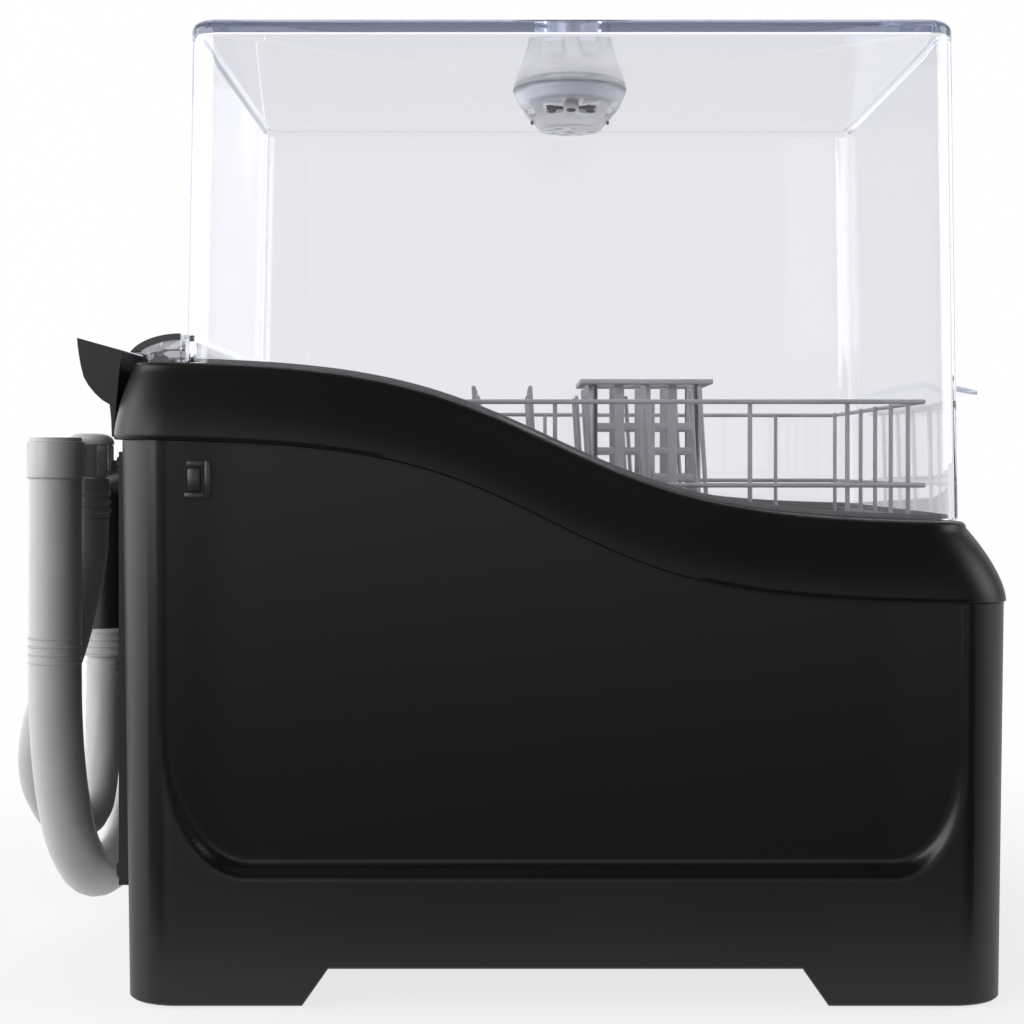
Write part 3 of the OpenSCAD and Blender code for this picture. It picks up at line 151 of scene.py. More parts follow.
# soft PVC straight from the extruder: smooth, slightly waxy, pale grey
pvc_grey = moulded("extruded_pvc_grey", "#b9b9ba", "#c6c6c7", 0.42, 1.2, 0.03, 90)
# painted shade: the fill hose gets a darker copy of the same PVC, for the shade it hangs in
# behind the drain hose
pvc_painted_shade = moulded("extruded_pvc_painted_shade", "#acacae", "#bababc", 0.42, 1.2, 0.03, 90)
drain_route = [
    (-241, -105, 242), (-241, -105, 218), (-241, -105, 195), (-241, -105, 171),
    (-241, -105, 147), (-241, -103, 123), (-241, -96, 99), (-241, -84, 77), (-241, -68, 58),
    (-240, -49, 43), (-240, -27, 33), (-239, -4, 28), (-238, 19, 28), (-237, 42, 33),
    (-237, 64, 43), (-236, 83, 58), (-235, 98, 77), (-234, 110, 99), (-233, 117, 123),
    (-233, 120, 148)]
fill_route = [
    (-230, -78, 222), (-231, -78, 202), (-235, -78, 181), (-240, -78, 161), (-247, -78, 140),
    (-255, -74, 115), (-259, -63, 92), (-258, -45, 73), (-255, -23, 60), (-252, 2, 54),
    (-250, 27, 56), (-251, 49, 66), (-253, 67, 82), (-255, 78, 104), (-255, 82, 137)]
drain_hose = hang_hose("drain_hose_pvc", drain_route[::-1], 0.026, pvc_grey, "drain_hose")
fill_hose = hang_hose("fill_hose_pvc", fill_route[::-1], 0.020, pvc_painted_shade, "fill_hose")

# ---------------------------------------------------------------- hose cuffs and fittings
# Each hose ends in a ribbed rubber cuff, squeezed over its black elbow. The other end carries
# a moulded fitting: a plain open cap on the drain hose, and a domed tap fitting with spring
# claws, over a ribbed sleeve, on the fill hose.


def finish_piece(bm, name, material, body, nodes=(), crease=35, bevel=0):
    """Scales a mesh drawn in mm to metres, shades it and fixes it to its body."""
    bmesh.ops.recalc_face_normals(bm, faces=bm.faces)
    bmesh.ops.scale(bm, vec=(0.001, 0.001, 0.001), verts=bm.verts)
    mesh = bpy.data.meshes.new(name)
    bm.to_mesh(mesh)
    bm.free()
    mesh.materials.append(material)
    mesh.shade_smooth()
    mesh.set_sharp_from_angle(angle=math.radians(crease))
    piece = bpy.data.objects.new(name, mesh)
    bpy.context.scene.collection.objects.link(piece)
    if bevel:
        edge = piece.modifiers.new("worn edge", "BEVEL")
        edge.width = bevel / 1000
        edge.segments = 2
        edge.limit_method = "ANGLE"
        edge.angle_limit = math.radians(crease)
        edge.harden_normals = True
    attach(piece, body)
    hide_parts(*nodes)
    return piece


def turn(bm, profile, centre, steps=64):
    """Spins a profile of (radius, height) points into a round piece about an upright axis."""
    points = [bm.verts.new((centre[0] + r, centre[1], z)) for r, z in profile]
    edges = [bm.edges.new(pair) for pair in zip(points, points[1:])]
    made = bmesh.ops.spin(bm, geom=points + edges, cent=(centre[0], centre[1], 0),
        axis=(0, 0, 1), angle=math.tau, steps=steps, use_merge=True)
    bmesh.ops.remove_doubles(bm, verts=bm.verts, dist=0.0005)
    return made


def block(bm, low, high, soft=0.0):
    """Adds a box from its low corner to its high corner, with its edges softened."""
    size = [b - a for a, b in zip(low, high)]
    middle = [(a + b) / 2 for a, b in zip(low, high)]
    made = bmesh.ops.create_cube(bm, size=1,
        matrix=Matrix.Translation(middle) @ Matrix.Diagonal((*size, 1)))
    if soft:
        edges = list({e for v in made["verts"] for e in v.link_edges})
        bmesh.ops.bevel(bm, geom=edges, offset=soft, affect="EDGES", segments=2, profile=0.5,
            material=-1)


def merge(bm, part):
    """Adds one mesh in the making to another, and frees it."""
    spare = bpy.data.meshes.new("spare")
    part.to_mesh(spare)
    part.free()
    bm.from_mesh(spare)
    bpy.data.meshes.remove(spare)


def rounded(bm, profile, centre, steps=64):
    """A closed turned ring whose last profile point meets its first."""
    return turn(bm, profile + profile[:1], centre, steps)


# the cuffs are softer than the hose and take the light a little flatter
cuff_grey = moulded("soft_rubber_grey", "#aeaeb0", "#bcbcbe", 0.55, 0.8, 0.03, 40)
for name, place, bore, node in (
        ("drain_cuff_rubber", drain_route[-1], 12.5, "drain_cuff"),
        ("fill_cuff_rubber", fill_route[-1], 10.6, "fill_cuff")):
    bm = bmesh.new()
    x, y, z = place
    wall = [(bore, z), (bore + 1.6, z)]
    for k in range(4):
        rise = z + 1 + 4 * k
        wall += [(bore + 1.6, rise), (bore + 2.4, rise + 0.4), (bore + 2.4, rise + 1.6),
            (bore + 1.6, rise + 2)]
    wall += [(bore + 1.6, z + 15.6), (bore + 1.1, z + 16), (bore, z + 16)]
    rounded(bm, wall, (x, y))
    finish_piece(bm, name, cuff_grey, "machine", [node], 50)

# glass-filled nylon fittings: hard, pale and faintly glossy
nylon_grey = moulded("moulded_nylon_grey", "#b4b4b7", "#c0c0c3", 0.33, 0.6, 0.015, 50)
nylon_white = moulded("moulded_nylon_white", "#cfcfd1", "#dcdcde", 0.3, 0.6, 0.015, 50)
x, y, z = drain_route[0]
bm = bmesh.new()
rounded(bm, [(9, 248), (9, 261.6), (9.6, 262.1), (12.6, 262.1), (13, 261.4), (13.05, 260.2),
    (14.0, 260), (14.25, 259.2), (14.25, 243), (13.6, 242.1), (3, 242.1), (0.01, 242.1),
    (0.01, 248)], (x, y), 72)
for k in range(3):
    rounded(bm, [(14.2, 250 + 2.6 * k), (14.24, 250.4 + 2.6 * k), (14.2, 250.8 + 2.6 * k),
        (13.9, 250.4 + 2.6 * k)], (x, y), 72)
web = bmesh.new()
block(web, (13.2, -3, 247.1), (16, 3, 256.1), 0.6)
bmesh.ops.rotate(web, cent=(0, 0, 0), verts=web.verts,
    matrix=Matrix.Rotation(math.atan2(27, 11), 3, "Z"))
bmesh.ops.translate(web, vec=(x, y, 0), verts=web.verts)
merge(bm, web)
drain_end = finish_piece(bm, "drain_end_fitting", nylon_grey, "machine",
    ["drain_fitting"])

x, y, z = fill_route[0]
bm = bmesh.new()
rounded(bm, [(5, 250), (5, 264.5), (7, 264.4), (9.6, 263.6), (11.6, 262.2), (12.5, 260.6),
    (12.5, 258.8), (9.4, 258.4), (9.3, 243), (8.8, 242.1), (0.01, 242.1), (0.01, 250)],
    (x, y), 72)
for k in range(6):
    claw = bmesh.new()
    block(claw, (9.5, -2.4, 243.3), (12.2, 2.4, 258.6), 0.7)
    block(claw, (8.6, -2.4, 243.2), (11.9, 2.4, 246.1), 0.8)
    bmesh.ops.rotate(claw, cent=(0, 0, 0), verts=claw.verts,
        matrix=Matrix.Rotation(math.radians(60 * k + 15), 3, "Z"))
    bmesh.ops.translate(claw, vec=(x, y, 0), verts=claw.verts)
    merge(bm, claw)
fill_end = finish_piece(bm, "fill_tap_fitting", nylon_white, "machine",
    ["fill_fitting"])

bm = bmesh.new()
wall = [(0.01, 222.1), (10, 222.1)]
for k in range(3):
    rise = 224.1 + 4.5 * k
    wall += [(10, rise), (10.9, rise + 0.4), (10.9, rise + 1.7), (10, rise + 2.1)]
wall += [(10, 241.5), (9.5, 241.9), (0.01, 241.9)]
turn(bm, wall, (x, y))
fill_sleeve = finish_piece(bm, "fill_sleeve_rubber", cuff_grey, "machine",
    ["fill_sleeve"], 50)

# moulded rings round the two hoses, where the ribbed stretch of each one ends
for name, end, radius, heights in (
        ("drain_hose_ribs", drain_route[0], 13, (151, 155, 159, 163)),
        ("fill_hose_ribs", fill_route[-1], 10, (124, 128, 132))):
    bm = bmesh.new()
    for height in heights:
        rounded(bm, [(radius - 0.4, height), (radius + 0.35, height + 0.5),
            (radius + 0.35, height + 1.1), (radius - 0.4, height + 1.6)], end[:2], 48)
    finish_piece(bm, name, cuff_grey, "machine", [], 50)

# ---------------------------------------------------------------- floor and light
# A white paper sweep runs under the machine and up behind it. Soft boxes stand to its left and
# right, ahead of it and behind it on the left, and one hangs overhead.
paper, tree, sheet = blank("white_paper")
sheet.inputs["Base Color"].default_value = linear("#ececec")
sheet.inputs["Roughness"].default_value = 0.9
sheet.inputs["Specular IOR Level"].default_value = 0.1
ray = add_node(tree, "ShaderNodeLightPath").outputs
seen = maths(tree, "MAXIMUM", ray["Is Camera Ray"], ray["Is Transmission Ray"])
seen = maths(tree, "MAXIMUM", seen, ray["Is Glossy Ray"])
# the paper is plain white further off, and keeps a soft shadow round the feet
place = add_node(tree, "ShaderNodeTexCoord").outputs["Object"]
away = add_node(tree, "ShaderNodeVectorMath", {}, {0: place}, operation="LENGTH")
share = maths(tree, "MULTIPLY", ramp(tree, away.outputs["Value"], 0.25, 0.7, 0.78), seen)
glow = add_node(tree, "ShaderNodeEmission", {"Color": linear("#ffffff"), "Strength": 1.0})
both = add_node(tree, "ShaderNodeMixShader", {}, {0: share, 1: sheet.outputs[0],
    2: glow.outputs[0]})
tree.links.new(both.outputs[0], tree.nodes["Material Output"].inputs["Surface"])
bm = bmesh.new()
profile = [(-0.26, 0.0), (1.2, 0.0), (1.8, 0.06), (2.3, 0.35), (2.5, 0.9), (2.5, 3.2)]
points = [bm.verts.new((-3.5, y, z)) for y, z in profile]
edges = [bm.edges.new(pair) for pair in zip(points, points[1:])]
pulled = bmesh.ops.extrude_edge_only(bm, edges=edges)["geom"]
bmesh.ops.translate(bm, vec=(7, 0, 0),
    verts=[g for g in pulled if isinstance(g, bmesh.types.BMVert)])
bmesh.ops.recalc_face_normals(bm, faces=bm.faces)
mesh = bpy.data.meshes.new("paper_sweep")
bm.to_mesh(mesh)
bm.free()
mesh.materials.append(paper)
mesh.shade_smooth()
backdrop = bpy.data.objects.new("paper_sweep", mesh)
bpy.context.scene.collection.objects.link(backdrop)

world = bpy.data.worlds.new("studio")
bpy.context.scene.world = world
world.use_nodes = True
tree = world.node_tree
ray = add_node(tree, "ShaderNodeLightPath").outputs
seen = maths(tree, "MAXIMUM", ray["Is Camera Ray"], ray["Is Transmission Ray"])
# what polished faces mirror is brightest level with the machine and straight ahead of it, and
# darker low down, overhead and off to the sides
heading = add_node(tree, "ShaderNodeSeparateXYZ", {},
    {"Vector": add_node(tree, "ShaderNodeTexCoord").outputs["Generated"]}).outputs
glossed = add_node(tree, "ShaderNodeFloatCurve", {}, {"Value": ramp(tree, heading["Z"], -1, 1)})
curve = glossed.mapping.curves[0]
curve.points[0].location = (0.0, 0.05)
curve.points[1].location = (1.0, 0.12)
for place in ((0.42, 0.08), (0.52, 1.0), (0.62, 0.8), (0.72, 0.14)):
    curve.points.new(*place)
glossed.mapping.update()
aside = ramp(tree, maths(tree, "ABSOLUTE", heading["X"]), 0.2, 0.55, 1, 0.2)
glossed = maths(tree, "MULTIPLY", glossed.outputs[0], aside)
# light that has been to and fro inside clear plastic finds the white background again
glossed = maths(tree, "MAXIMUM", glossed, maths(tree, "GREATER_THAN", ray["Ray Depth"], 3.5))
glossed = maths(tree, "MULTIPLY", glossed, ray["Is Glossy Ray"])
level = maths(tree, "MAXIMUM", ramp(tree, seen, 0, 1, 0.06), glossed)
tree.links.new(level, tree.nodes["Background"].inputs["Strength"])
tree.nodes["Background"].inputs["Color"].default_value = linear("#ffffff")
bpy.context.scene.view_settings.view_transform = "Standard"

for name, place, aim, size, power in (
        ("left_box", (-1.9, -0.35, 0.8), (-0.1, 0, 0.2), (1.2, 1.4), 20),
        ("right_box", (1.9, -0.3, 0.9), (0, 0, 0.2), (1.0, 1.3), 18),
        ("rear_left_box", (-1.35, 0.75, 0.5), (-0.1, 0, 0.2), (2.0, 1.3), 12),
        ("front_box", (-1.35, -1.4, 0.7), (-0.1, 0, 0.2), (1.2, 1.0), 17),
        ("top_box", (0.0, 0.2, 1.9), (0, 0, 0.2), (1.6, 1.0), 5)):
    lamp = bpy.data.lights.new(name, "AREA")
    lamp.shape = "RECTANGLE"
    lamp.size, lamp.size_y = size
    lamp.energy = power
    box = bpy.data.objects.new(name, lamp)
    box.location = place
    box.rotation_euler = (Vector(aim) - Vector(place)).to_track_quat("-Z", "Y").to_euler()
    bpy.context.scene.collection.objects.link(box)

# ---------------------------------------------------------------- case
# The case is one deep ABS moulding, open at the bottom, that narrows by a few millimetres
# down to its four moulded feet. Its frame is satin black. Each long side has a broad sunk
# panel, polished and drawn darker as painted shade, with soft elliptical lower corners.
rear, front, side = -197.0, 213.0, 176.5
corner = 27
# how far the frame's face leans out over its height
lean_out, lean_height = 3, 220
# the sunk panel's rear end, front end and foot, and how far its two lower corners reach
panel = (rear + 15, front - 18.5, 58)
rear_corner, front_corner = (45, 76), (36, 58)
# width and depth of the step all round the panel, and of the slopes at its two ends
step_wide, step_deep, slope_wide, slope_deep = 9, 2.2, 42, 3.8
# length of a foot along the two kinds of wall, and width and height of the slants beside it
foot_x, foot_y, slant, arch = 84.5, 62, 12, 17
# underside and top of the ledge inside the base, which carries the plate
ledge_low, ledge_top = 18.3, 24.2


def sweep(x, share):
    """Height of the seam (share 0), the deck's top edge (share 1) or a level between them."""
    seam = 223 - 38 * math.tanh((x - 1.5) / 77)
    top = 259.5 - 38 * math.tanh((x - 1.5) / 82)
    return seam + (top - seam) * share


def spread(low, high, count, dense=0.0, step=1.5):
    """Stops from low up to, but not with, high. They lie closer in a zone at each end."""
    if not dense:
        return [low + (high - low) * i / count for i in range(count)]
    near = [low + step * i for i in range(int(dense / step))]
    far = [high - step * (i + 1) for i in range(int(dense / step))][::-1]
    start, stop = near[-1] + step, far[0]
    return near + [start + (stop - start) * i / count for i in range(count)] + far


def loop_points(box, sides=60, corner=12, ends=24, dense=0.0, marks=(), end_marks=()):
    """Points round a rectangle with round corners: rear x, front x, half width, radius. The
    marks are extra stops along the two long sides, and end_marks along the two ends."""
    x0, x1, half, r = box
    a, b, c = x0 + r, x1 - r, half - r
    along = sorted(set(spread(a, b, sides, dense)) | set(marks))
    back = sorted({a + b - x for x in spread(a, b, sides, dense)} | set(marks), reverse=True)
    across = sorted(set(spread(-c, c, ends)) | set(end_marks))
    arc = lambda x, y, start: [(x + r * math.cos(w), y + r * math.sin(w))
        for w in (math.radians(start + 90 * i / corner) for i in range(corner))]
    return ([(x, -half) for x in along] + arc(b, -c, -90) + [(x1, y) for y in across]
        + arc(b, c, 0) + [(x, half) for x in back] + arc(a, c, 90)
        + [(x0, -y) for y in across] + arc(a, -c, 180))


def wrap_grid(bm, rings, closed=False):
    """Lays a grid over rings of points, and welds it where its ends meet."""
    across, along = len(rings[0]), len(rings) - (0 if closed else 1)
    laid = bmesh.ops.create_grid(bm, x_segments=across, y_segments=along, size=1)["verts"]
    for v in laid:
        i = round((v.co.x + 1) / 2 * across) % across
        j = round((v.co.y + 1) / 2 * along) % len(rings)
        v.co = rings[j][i]
    bmesh.ops.remove_doubles(bm, verts=laid, dist=0.001)


def sunk(x, z):
    """Depth of a long side at a point: a short step all round the sunk panel, with elliptical
    lower corners, and a broad shallow slope down to 6 mm at its two ends."""
    x0, x1, z0 = panel
    inside = min(x - x0, x1 - x, z - z0)
    for end, (rx, rz) in ((x - x0, rear_corner), (x1 - x, front_corner)):
        if end < rx and z < z0 + rz:
            run = max(math.hypot(end - rx, z - z0 - rz), 0.001)
            far = max(math.hypot((end - rx) / rx, (z - z0 - rz) / rz), 0.001)
            inside = run / far - run
    shares = inside / step_wide, min(x - x0, x1 - x) / slope_wide
    step, slope = (t * t * t * (t * (6 * t - 15) + 10)
        for t in (min(max(share, 0), 1) for share in shares))
    return step * (step_deep + slope_deep * slope)


def skirt(x, y):
    """Height of the case's lower edge: the feet, and the slanted arches between them."""
    into = -1
    if abs(abs(y) - side) < 0.01:
        into = min(x - (rear + foot_x), front - foot_x - x)
    elif abs(x - rear) < 0.01 or abs(x - front) < 0.01:
        into = side - foot_y - abs(y)
    return 1.2 + arch * min(max(into / slant, 0), 1)


# window for the control strip in the front wall: half width, lower and upper edge
window_y, window_low, window_high = 60, 146, 176
grid = {"sides": 36, "corner": 24, "dense": 36,
    "marks": [end + way * run for end, way in ((rear, 1), (front, -1))
        for run in (foot_x, foot_x + slant)],
    "end_marks": [way * run for way in (-1, 1)
        for run in (side - foot_y, side - foot_y - slant, window_y)]}
outline = loop_points((rear, front, side, corner), **grid)
levels = ([19.1, 26, 36, 46, 54, 57.5] + [58 + 0.7 * i for i in range(10)]
    + [66 + 1.8 * i for i in range(6)] + [77 + 3 * i for i in range(20)]
    + [(134 + window_low) / 2, window_low, window_high])


def case_ring(tuck, height):
    """One ring round the case, drawn in by the mould's draft and by a tuck at its edge."""
    ring = []
    for x, y in outline:
        z = height(x, y)
        core_x = min(max(x, rear + corner), front - corner)
        core_y = min(max(y, corner - side), side - corner)
        out_x, out_y = (x - core_x) / corner, (y - core_y) / corner
        lean = lean_out * z / lean_height
        wide = min(abs(y + out_y * (lean - lean_out - tuck)),
            side - lean_out + lean - sunk(x, z))
        ring.append((x + out_x * (lean - 1.8 - tuck), math.copysign(wide, y), z))
    return ring


top = lambda x, y: sweep(x, 0) - 0.3
bm = bmesh.new()
rings = [case_ring(1, skirt), case_ring(0, lambda x, y: skirt(x, y) + 0.9)]
rings += [case_ring(0, lambda x, y, z=z: z) for z in levels]
rings += [case_ring(0, lambda x, y, t=t: window_high + (top(x, y) - window_high) * t / 6)
    for t in range(1, 7)]
inner = loop_points((rear + 3, front - 3, side - 9, 24), **grid)
rings.append([(x, y, top(x, y)) for x, y in inner])
rings += [[(x, y, z) for x, y in inner] for z in (window_high, window_low, ledge_top)]
hole = loop_points((rear + 12, front - 12, side - 16, 6), **grid)
rings += [[(x, y, z) for x, y in hole] for z in (ledge_top, ledge_low)]
lip = loop_points((rear + 5, front - 5, side - 5, corner - 5), **grid)
rings.append([(x, y, max(ledge_low, skirt(*p))) for (x, y), p in zip(lip, outline)])
rings.append([(x, y, skirt(*p)) for (x, y), p in zip(lip, outline)])
wrap_grid(bm, rings, closed=True)
window = [face for face in bm.faces if all(v.co.x > front - 4 and abs(v.co.y) < window_y + 0.1
    and window_low - 0.1 < v.co.z < window_high + 0.1 for v in face.verts)]
bmesh.ops.delete(bm, geom=window, context="FACES")
bmesh.ops.bridge_loops(bm, edges=[e for e in bm.edges if e.is_boundary])
# a block inside each corner fills out the foot, with slanted inner faces
skin = 5
far_x, far_y = foot_x - skin, foot_y - skin
for sx, x_out in ((1, rear + skin), (-1, front - skin)):
    for sy in (-1, 1):
        y_out = sy * (side - skin)
        curve = [(x_out + sx * 22 * (1 - math.sin(w)), y_out - sy * 22 * (1 - math.cos(w)))
            for w in (math.radians(90 * i / 8) for i in range(9))]
        plan = curve + [(x_out, y_out - sy * far_y),
            (x_out + sx * far_x, y_out - sy * far_y), (x_out + sx * far_x, y_out)]
        under = bm.faces.new([bm.verts.new((x, y, 1.3)) for x, y in plan])
        pulled = bmesh.ops.extrude_face_region(bm, geom=[under])["geom"]
        for v in (g for g in pulled if isinstance(g, bmesh.types.BMVert)):
            v.co.x += sx * slant if abs(v.co.x - x_out) > far_x - 0.5 else 0
            v.co.y -= sy * slant if abs(v.co.y - y_out) > far_y - 1 else 0
            v.co.z = ledge_low - 0.1
# ABS black: the frame has the mould's satin grain, and the sunk panels are polished and painted
# darker as shade in the recess
abs_black = moulded("satin_abs_black", "#0e0e0f", "#121213", 0.42, 0.6, 0.012, 120)
tree = abs_black.node_tree
surface = tree.nodes["Principled BSDF"]
surface.inputs["Specular IOR Level"].default_value = 0.42
spot = add_node(tree, "ShaderNodeSeparateXYZ", {},
    {"Vector": add_node(tree, "ShaderNodeTexCoord").outputs["Object"]}).outputs
frame_face = maths(tree, "MULTIPLY_ADD", spot["Z"], lean_out / lean_height,
    (side - lean_out) / 1000)
deep = maths(tree, "SUBTRACT", frame_face, maths(tree, "ABSOLUTE", spot["Y"]))
# painted shade: where the side lies sunk below the frame's face, its colour is drawn darker
inside = maths(tree, "MULTIPLY", maths(tree, "GREATER_THAN", spot["X"], -0.183),
    maths(tree, "LESS_THAN", spot["X"], 0.195))
inside = maths(tree, "MULTIPLY", inside, ramp(tree, deep, 0.0001, 0.0008))
# the darker colour is painted shade; the lower roughness is the panel's polish
for socket, polished in (("Base Color", linear("#070708")), ("Roughness", (0.3, 0.3, 0.3, 1))):
    plain = surface.inputs[socket].links[0].from_socket
    mixed = add_node(tree, "ShaderNodeMix", {7: polished}, {0: inside, 6: plain},
        data_type="RGBA")
    tree.links.new(mixed.outputs[2], surface.inputs[socket])
finish_piece(bm, "case_moulding", abs_black, "machine", ["case_shell"], 40)

# ---------------------------------------------------------------- base plate and foot pads
# A ribbed polypropylene plate closes the bottom between the feet, and each foot stands on
# a round pad of soft rubber let into it.
plate_black = moulded("plain_polypropylene_black", "#151516", "#1c1c1d", 0.5, 0.9, 0.03, 60)
pad_rubber = moulded("soft_rubber_black", "#232324", "#2c2c2d", 0.75, 0.5, 0.03, 20)


def dress(material, *nodes):
    """Gives CAD nodes their finish."""
    for name in nodes:
        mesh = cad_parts[name].data
        mesh.materials.clear()
        mesh.materials.append(material)


dress(plate_black, "base_plate")
dress(pad_rubber, "foot_pad_rl", "foot_pad_rr", "foot_pad_fl", "foot_pad_fr")

# ---------------------------------------------------------------- deck
# The deck is a second ABS moulding that caps the case. It sweeps down from the rear to the
# front in one long S, leans in all round, and turns down into the tub's mouth.
seam_box = (rear - 5.7, front + 1.8, side, corner)
crown_box = (rear + 1.3, front - 14.7, side - 12, 24)
mouth_box = (rear + 38.3, front - 26.7, 135, 12)


def between(a, b, t):
    """A rectangle part of the way from one rectangle to another."""
    return tuple(p + (q - p) * t for p, q in zip(a, b))


def wider(box, d):
    """A rectangle grown by d all round."""
    return (box[0] - d, box[1] + d, box[2] + d, box[3] + d)


def swept(box, share, lift):
    """Points round a rectangle, raised to the sweep."""
    return [(x, y, sweep(x, share) + lift) for x, y in loop_points(box)]


bm = bmesh.new()
rings = [swept(wider(seam_box, -8.7), 0, 0), swept(wider(seam_box, -0.5), 0, 0)]
for i in range(15):
    t = i / 14
    rings.append(swept(between(seam_box, crown_box, t ** 1.6), t, 0.5 * (1 - t) - 3 * t))
for i in range(1, 6):
    w = math.radians(90 * i / 5)
    rings.append(swept(wider(crown_box, -3 + 3 * math.cos(w)), 1, -3 + 3 * math.sin(w)))
rings.append(swept(wider(mouth_box, 1.5), 1, 0))
rings.append(swept(wider(mouth_box, 0.5), 1, -0.4))
rings.append(swept(mouth_box, 1, -1.5))
rings.append(swept(mouth_box, 1, -10))
rings.append(swept(wider(mouth_box, 3), 1, -10))
rings.append(swept(wider(mouth_box, 3), 1, -4))
rings.append(swept(wider(crown_box, -6), 1, -4))
rings.append(swept(wider(seam_box, -6), 0, 3))
rings.append(swept(wider(seam_box, -8.7), 0, 3))
wrap_grid(bm, rings, closed=True)
deck_black = moulded("satin_abs_deck_black", "#0b0b0c", "#0f0f10", 0.4, 0.6, 0.012, 120)
deck_black.node_tree.nodes["Principled BSDF"].inputs["Specular IOR Level"].default_value = 0.3
finish_piece(bm, "deck_moulding", deck_black, "machine", ["deck"], 50)

# ---------------------------------------------------------------- tub and seal
# The wash tub is a grey polypropylene moulding hung under the deck, with a ledge that carries
# the rack. A soft black seal lies on the deck, just inside the lid.
basin_box = (mouth_box[0] + 18, mouth_box[1] - 18, 117, 30)
basin_out = wider(basin_box, 2.5)
sump_x, sump_hole = 13.8, 42
# the ledge under the rack, the basin's floor, and its underside
shelf, basin_low, basin_under = 148, 112, 109.5
bm = bmesh.new()
round_hole = [(sump_x + sump_hole * math.cos(w), sump_hole * math.sin(w)) for w in
    (math.atan2(y, x - sump_x) for x, y in loop_points(basin_box))]
rings = [
    swept(wider(mouth_box, 2.5), 1, -10.3), swept(wider(mouth_box, 0.4), 1, -10.3),
    swept(mouth_box, 1, -10.7)]
rings += [[(x, y, z) for x, y in loop_points(box)] for box, z in (
    (mouth_box, shelf + 3), (wider(mouth_box, -0.8), shelf + 0.9),
    (wider(mouth_box, -3), shelf), (wider(basin_box, 2), shelf),
    (wider(basin_box, 0.5), shelf - 0.7), (basin_box, shelf - 2.5), (basin_box, basin_low + 6),
    (wider(basin_box, -1.5), basin_low + 1.8), (wider(basin_box, -6), basin_low))]
rings += [[(x, y, z) for x, y in round_hole] for z in (basin_low, basin_under)]
rings += [[(x, y, z) for x, y in loop_points(box)] for box, z in (
    (basin_out, basin_under), (basin_out, shelf - 2.5), (wider(mouth_box, 2.5), shelf - 2.5))]
wrap_grid(bm, rings, closed=True)
# polypropylene: waxy, mid grey and a little cloudy
tub_grey = moulded("moulded_polypropylene_grey", "#8d8f93", "#999ba0", 0.38, 1.0, 0.02, 80)
finish_piece(bm, "tub_moulding", tub_grey, "machine", ["tub"], 40)

lid_foot = (rear + 24.3, front - 16.1, 144.5, 14)
lid_head = (rear + 27.3, front - 19.1, 144.5, 14)
seal_box = wider(lid_foot, -4.6)
bm = bmesh.new()
wrap_grid(bm, [swept(wider(seal_box, -d), 1, z) for d, z in (
    (0, 0.1), (0, 2.2), (0.3, 2.8), (0.9, 3), (1.6, 2.8), (2.2, 2.2), (2.6, 0.1))], closed=True)
seal_rubber = moulded("seal_rubber_black", "#1d1d1e", "#262627", 0.6, 0.5, 0.02, 30)
finish_piece(bm, "deck_seal_rubber", seal_rubber, "machine", ["deck_seal"], 50)

# ---------------------------------------------------------------- pumps, pipes and boards
# The working parts under the tub are plain technical mouldings: grey sump, filter and spray
# parts, black pump housings, white valve and wheels, a painted motor, and a bright heater.
technical_grey = moulded("technical_moulding_grey", "#7c7f84", "#8a8d92", 0.42, 0.8, 0.02, 30)
technical_black = moulded("technical_moulding_black", "#1c1c1e", "#26272a", 0.45, 0.8, 0.02, 30)
technical_white = moulded("acetal_white", "#d2d2ce", "#dededb", 0.35, 0.6, 0.015, 30)
motor_paint = moulded("dipped_motor_paint", "#3c3e42", "#484a4f", 0.5, 1.5, 0.04, 25)
board_resin = moulded("glass_epoxy_board", "#1f4a35", "#28583f", 0.35, 0.4, 0.01, 12)
dress(technical_grey, "sump", "filter_cup", "spray_post", "spray_arm", "spray_nut")
dress(technical_black, "pump_housing", "drain_pump", "drain_pipe", "fill_pipe")
dress(technical_white, "impeller", "drain_impeller", "inlet_valve", "float_cap")
dress(motor_paint, "pump_motor")
dress(board_resin, "control_board")

# bright drawn stainless steel for the heater, the hinge pins and the screws: fine marks
# along the metal, and a neutral grey tone
steel, tree, metal = blank("drawn_stainless_steel")
metal.inputs["Metallic"].default_value = 1.0
marks = noise(tree, 900, 2)
tint = add_node(tree, "ShaderNodeMix", {6: linear("#a9a9ab"), 7: linear("#bcbcbf")},
    {0: marks}, data_type="RGBA")
tree.links.new(tint.outputs[2], metal.inputs["Base Color"])
tree.links.new(ramp(tree, marks, 0, 1, 0.22, 0.36), metal.inputs["Roughness"])
dress(steel, "heater", "hinge_pin_l", "hinge_pin_r")
dress(moulded("blackened_steel", "#1a1a1c", "#242427", 0.4, 0.4, 0.01, 6), "rear_screws")

# ---------------------------------------------------------------- rack
# The rack is welded from straight steel wires and dipped in grey nylon: a rim, a middle ring
# and a floor, joined by uprights, with rows of plate tines standing on the floor.


def wire(bm, start, end, radius=1.15, sides=10, ends=False):
    """Adds one straight wire between two points."""
    a, b = Vector(start), Vector(end)
    turn_to = (b - a).to_track_quat("Z", "Y").to_matrix().to_4x4()
    bmesh.ops.create_cone(bm, cap_ends=True, segments=sides, radius1=radius, radius2=radius,
        depth=(b - a).length, matrix=Matrix.Translation((a + b) / 2) @ turn_to)
    if ends:
        for tip in (a, b):
            bmesh.ops.create_uvsphere(bm, u_segments=sides, v_segments=6, radius=radius,
                matrix=Matrix.Translation(tip))


nylon_dip = moulded("nylon_dipped_wire", "#6f6e73", "#7c7b80", 0.42, 2.0, 0.06, 25)
rack_x0, rack_x1, rack_y = rear + 43.8, front - 32.2, 129.5
rack_floor, rack_ring, rack_rim = 149.8, 239, 279
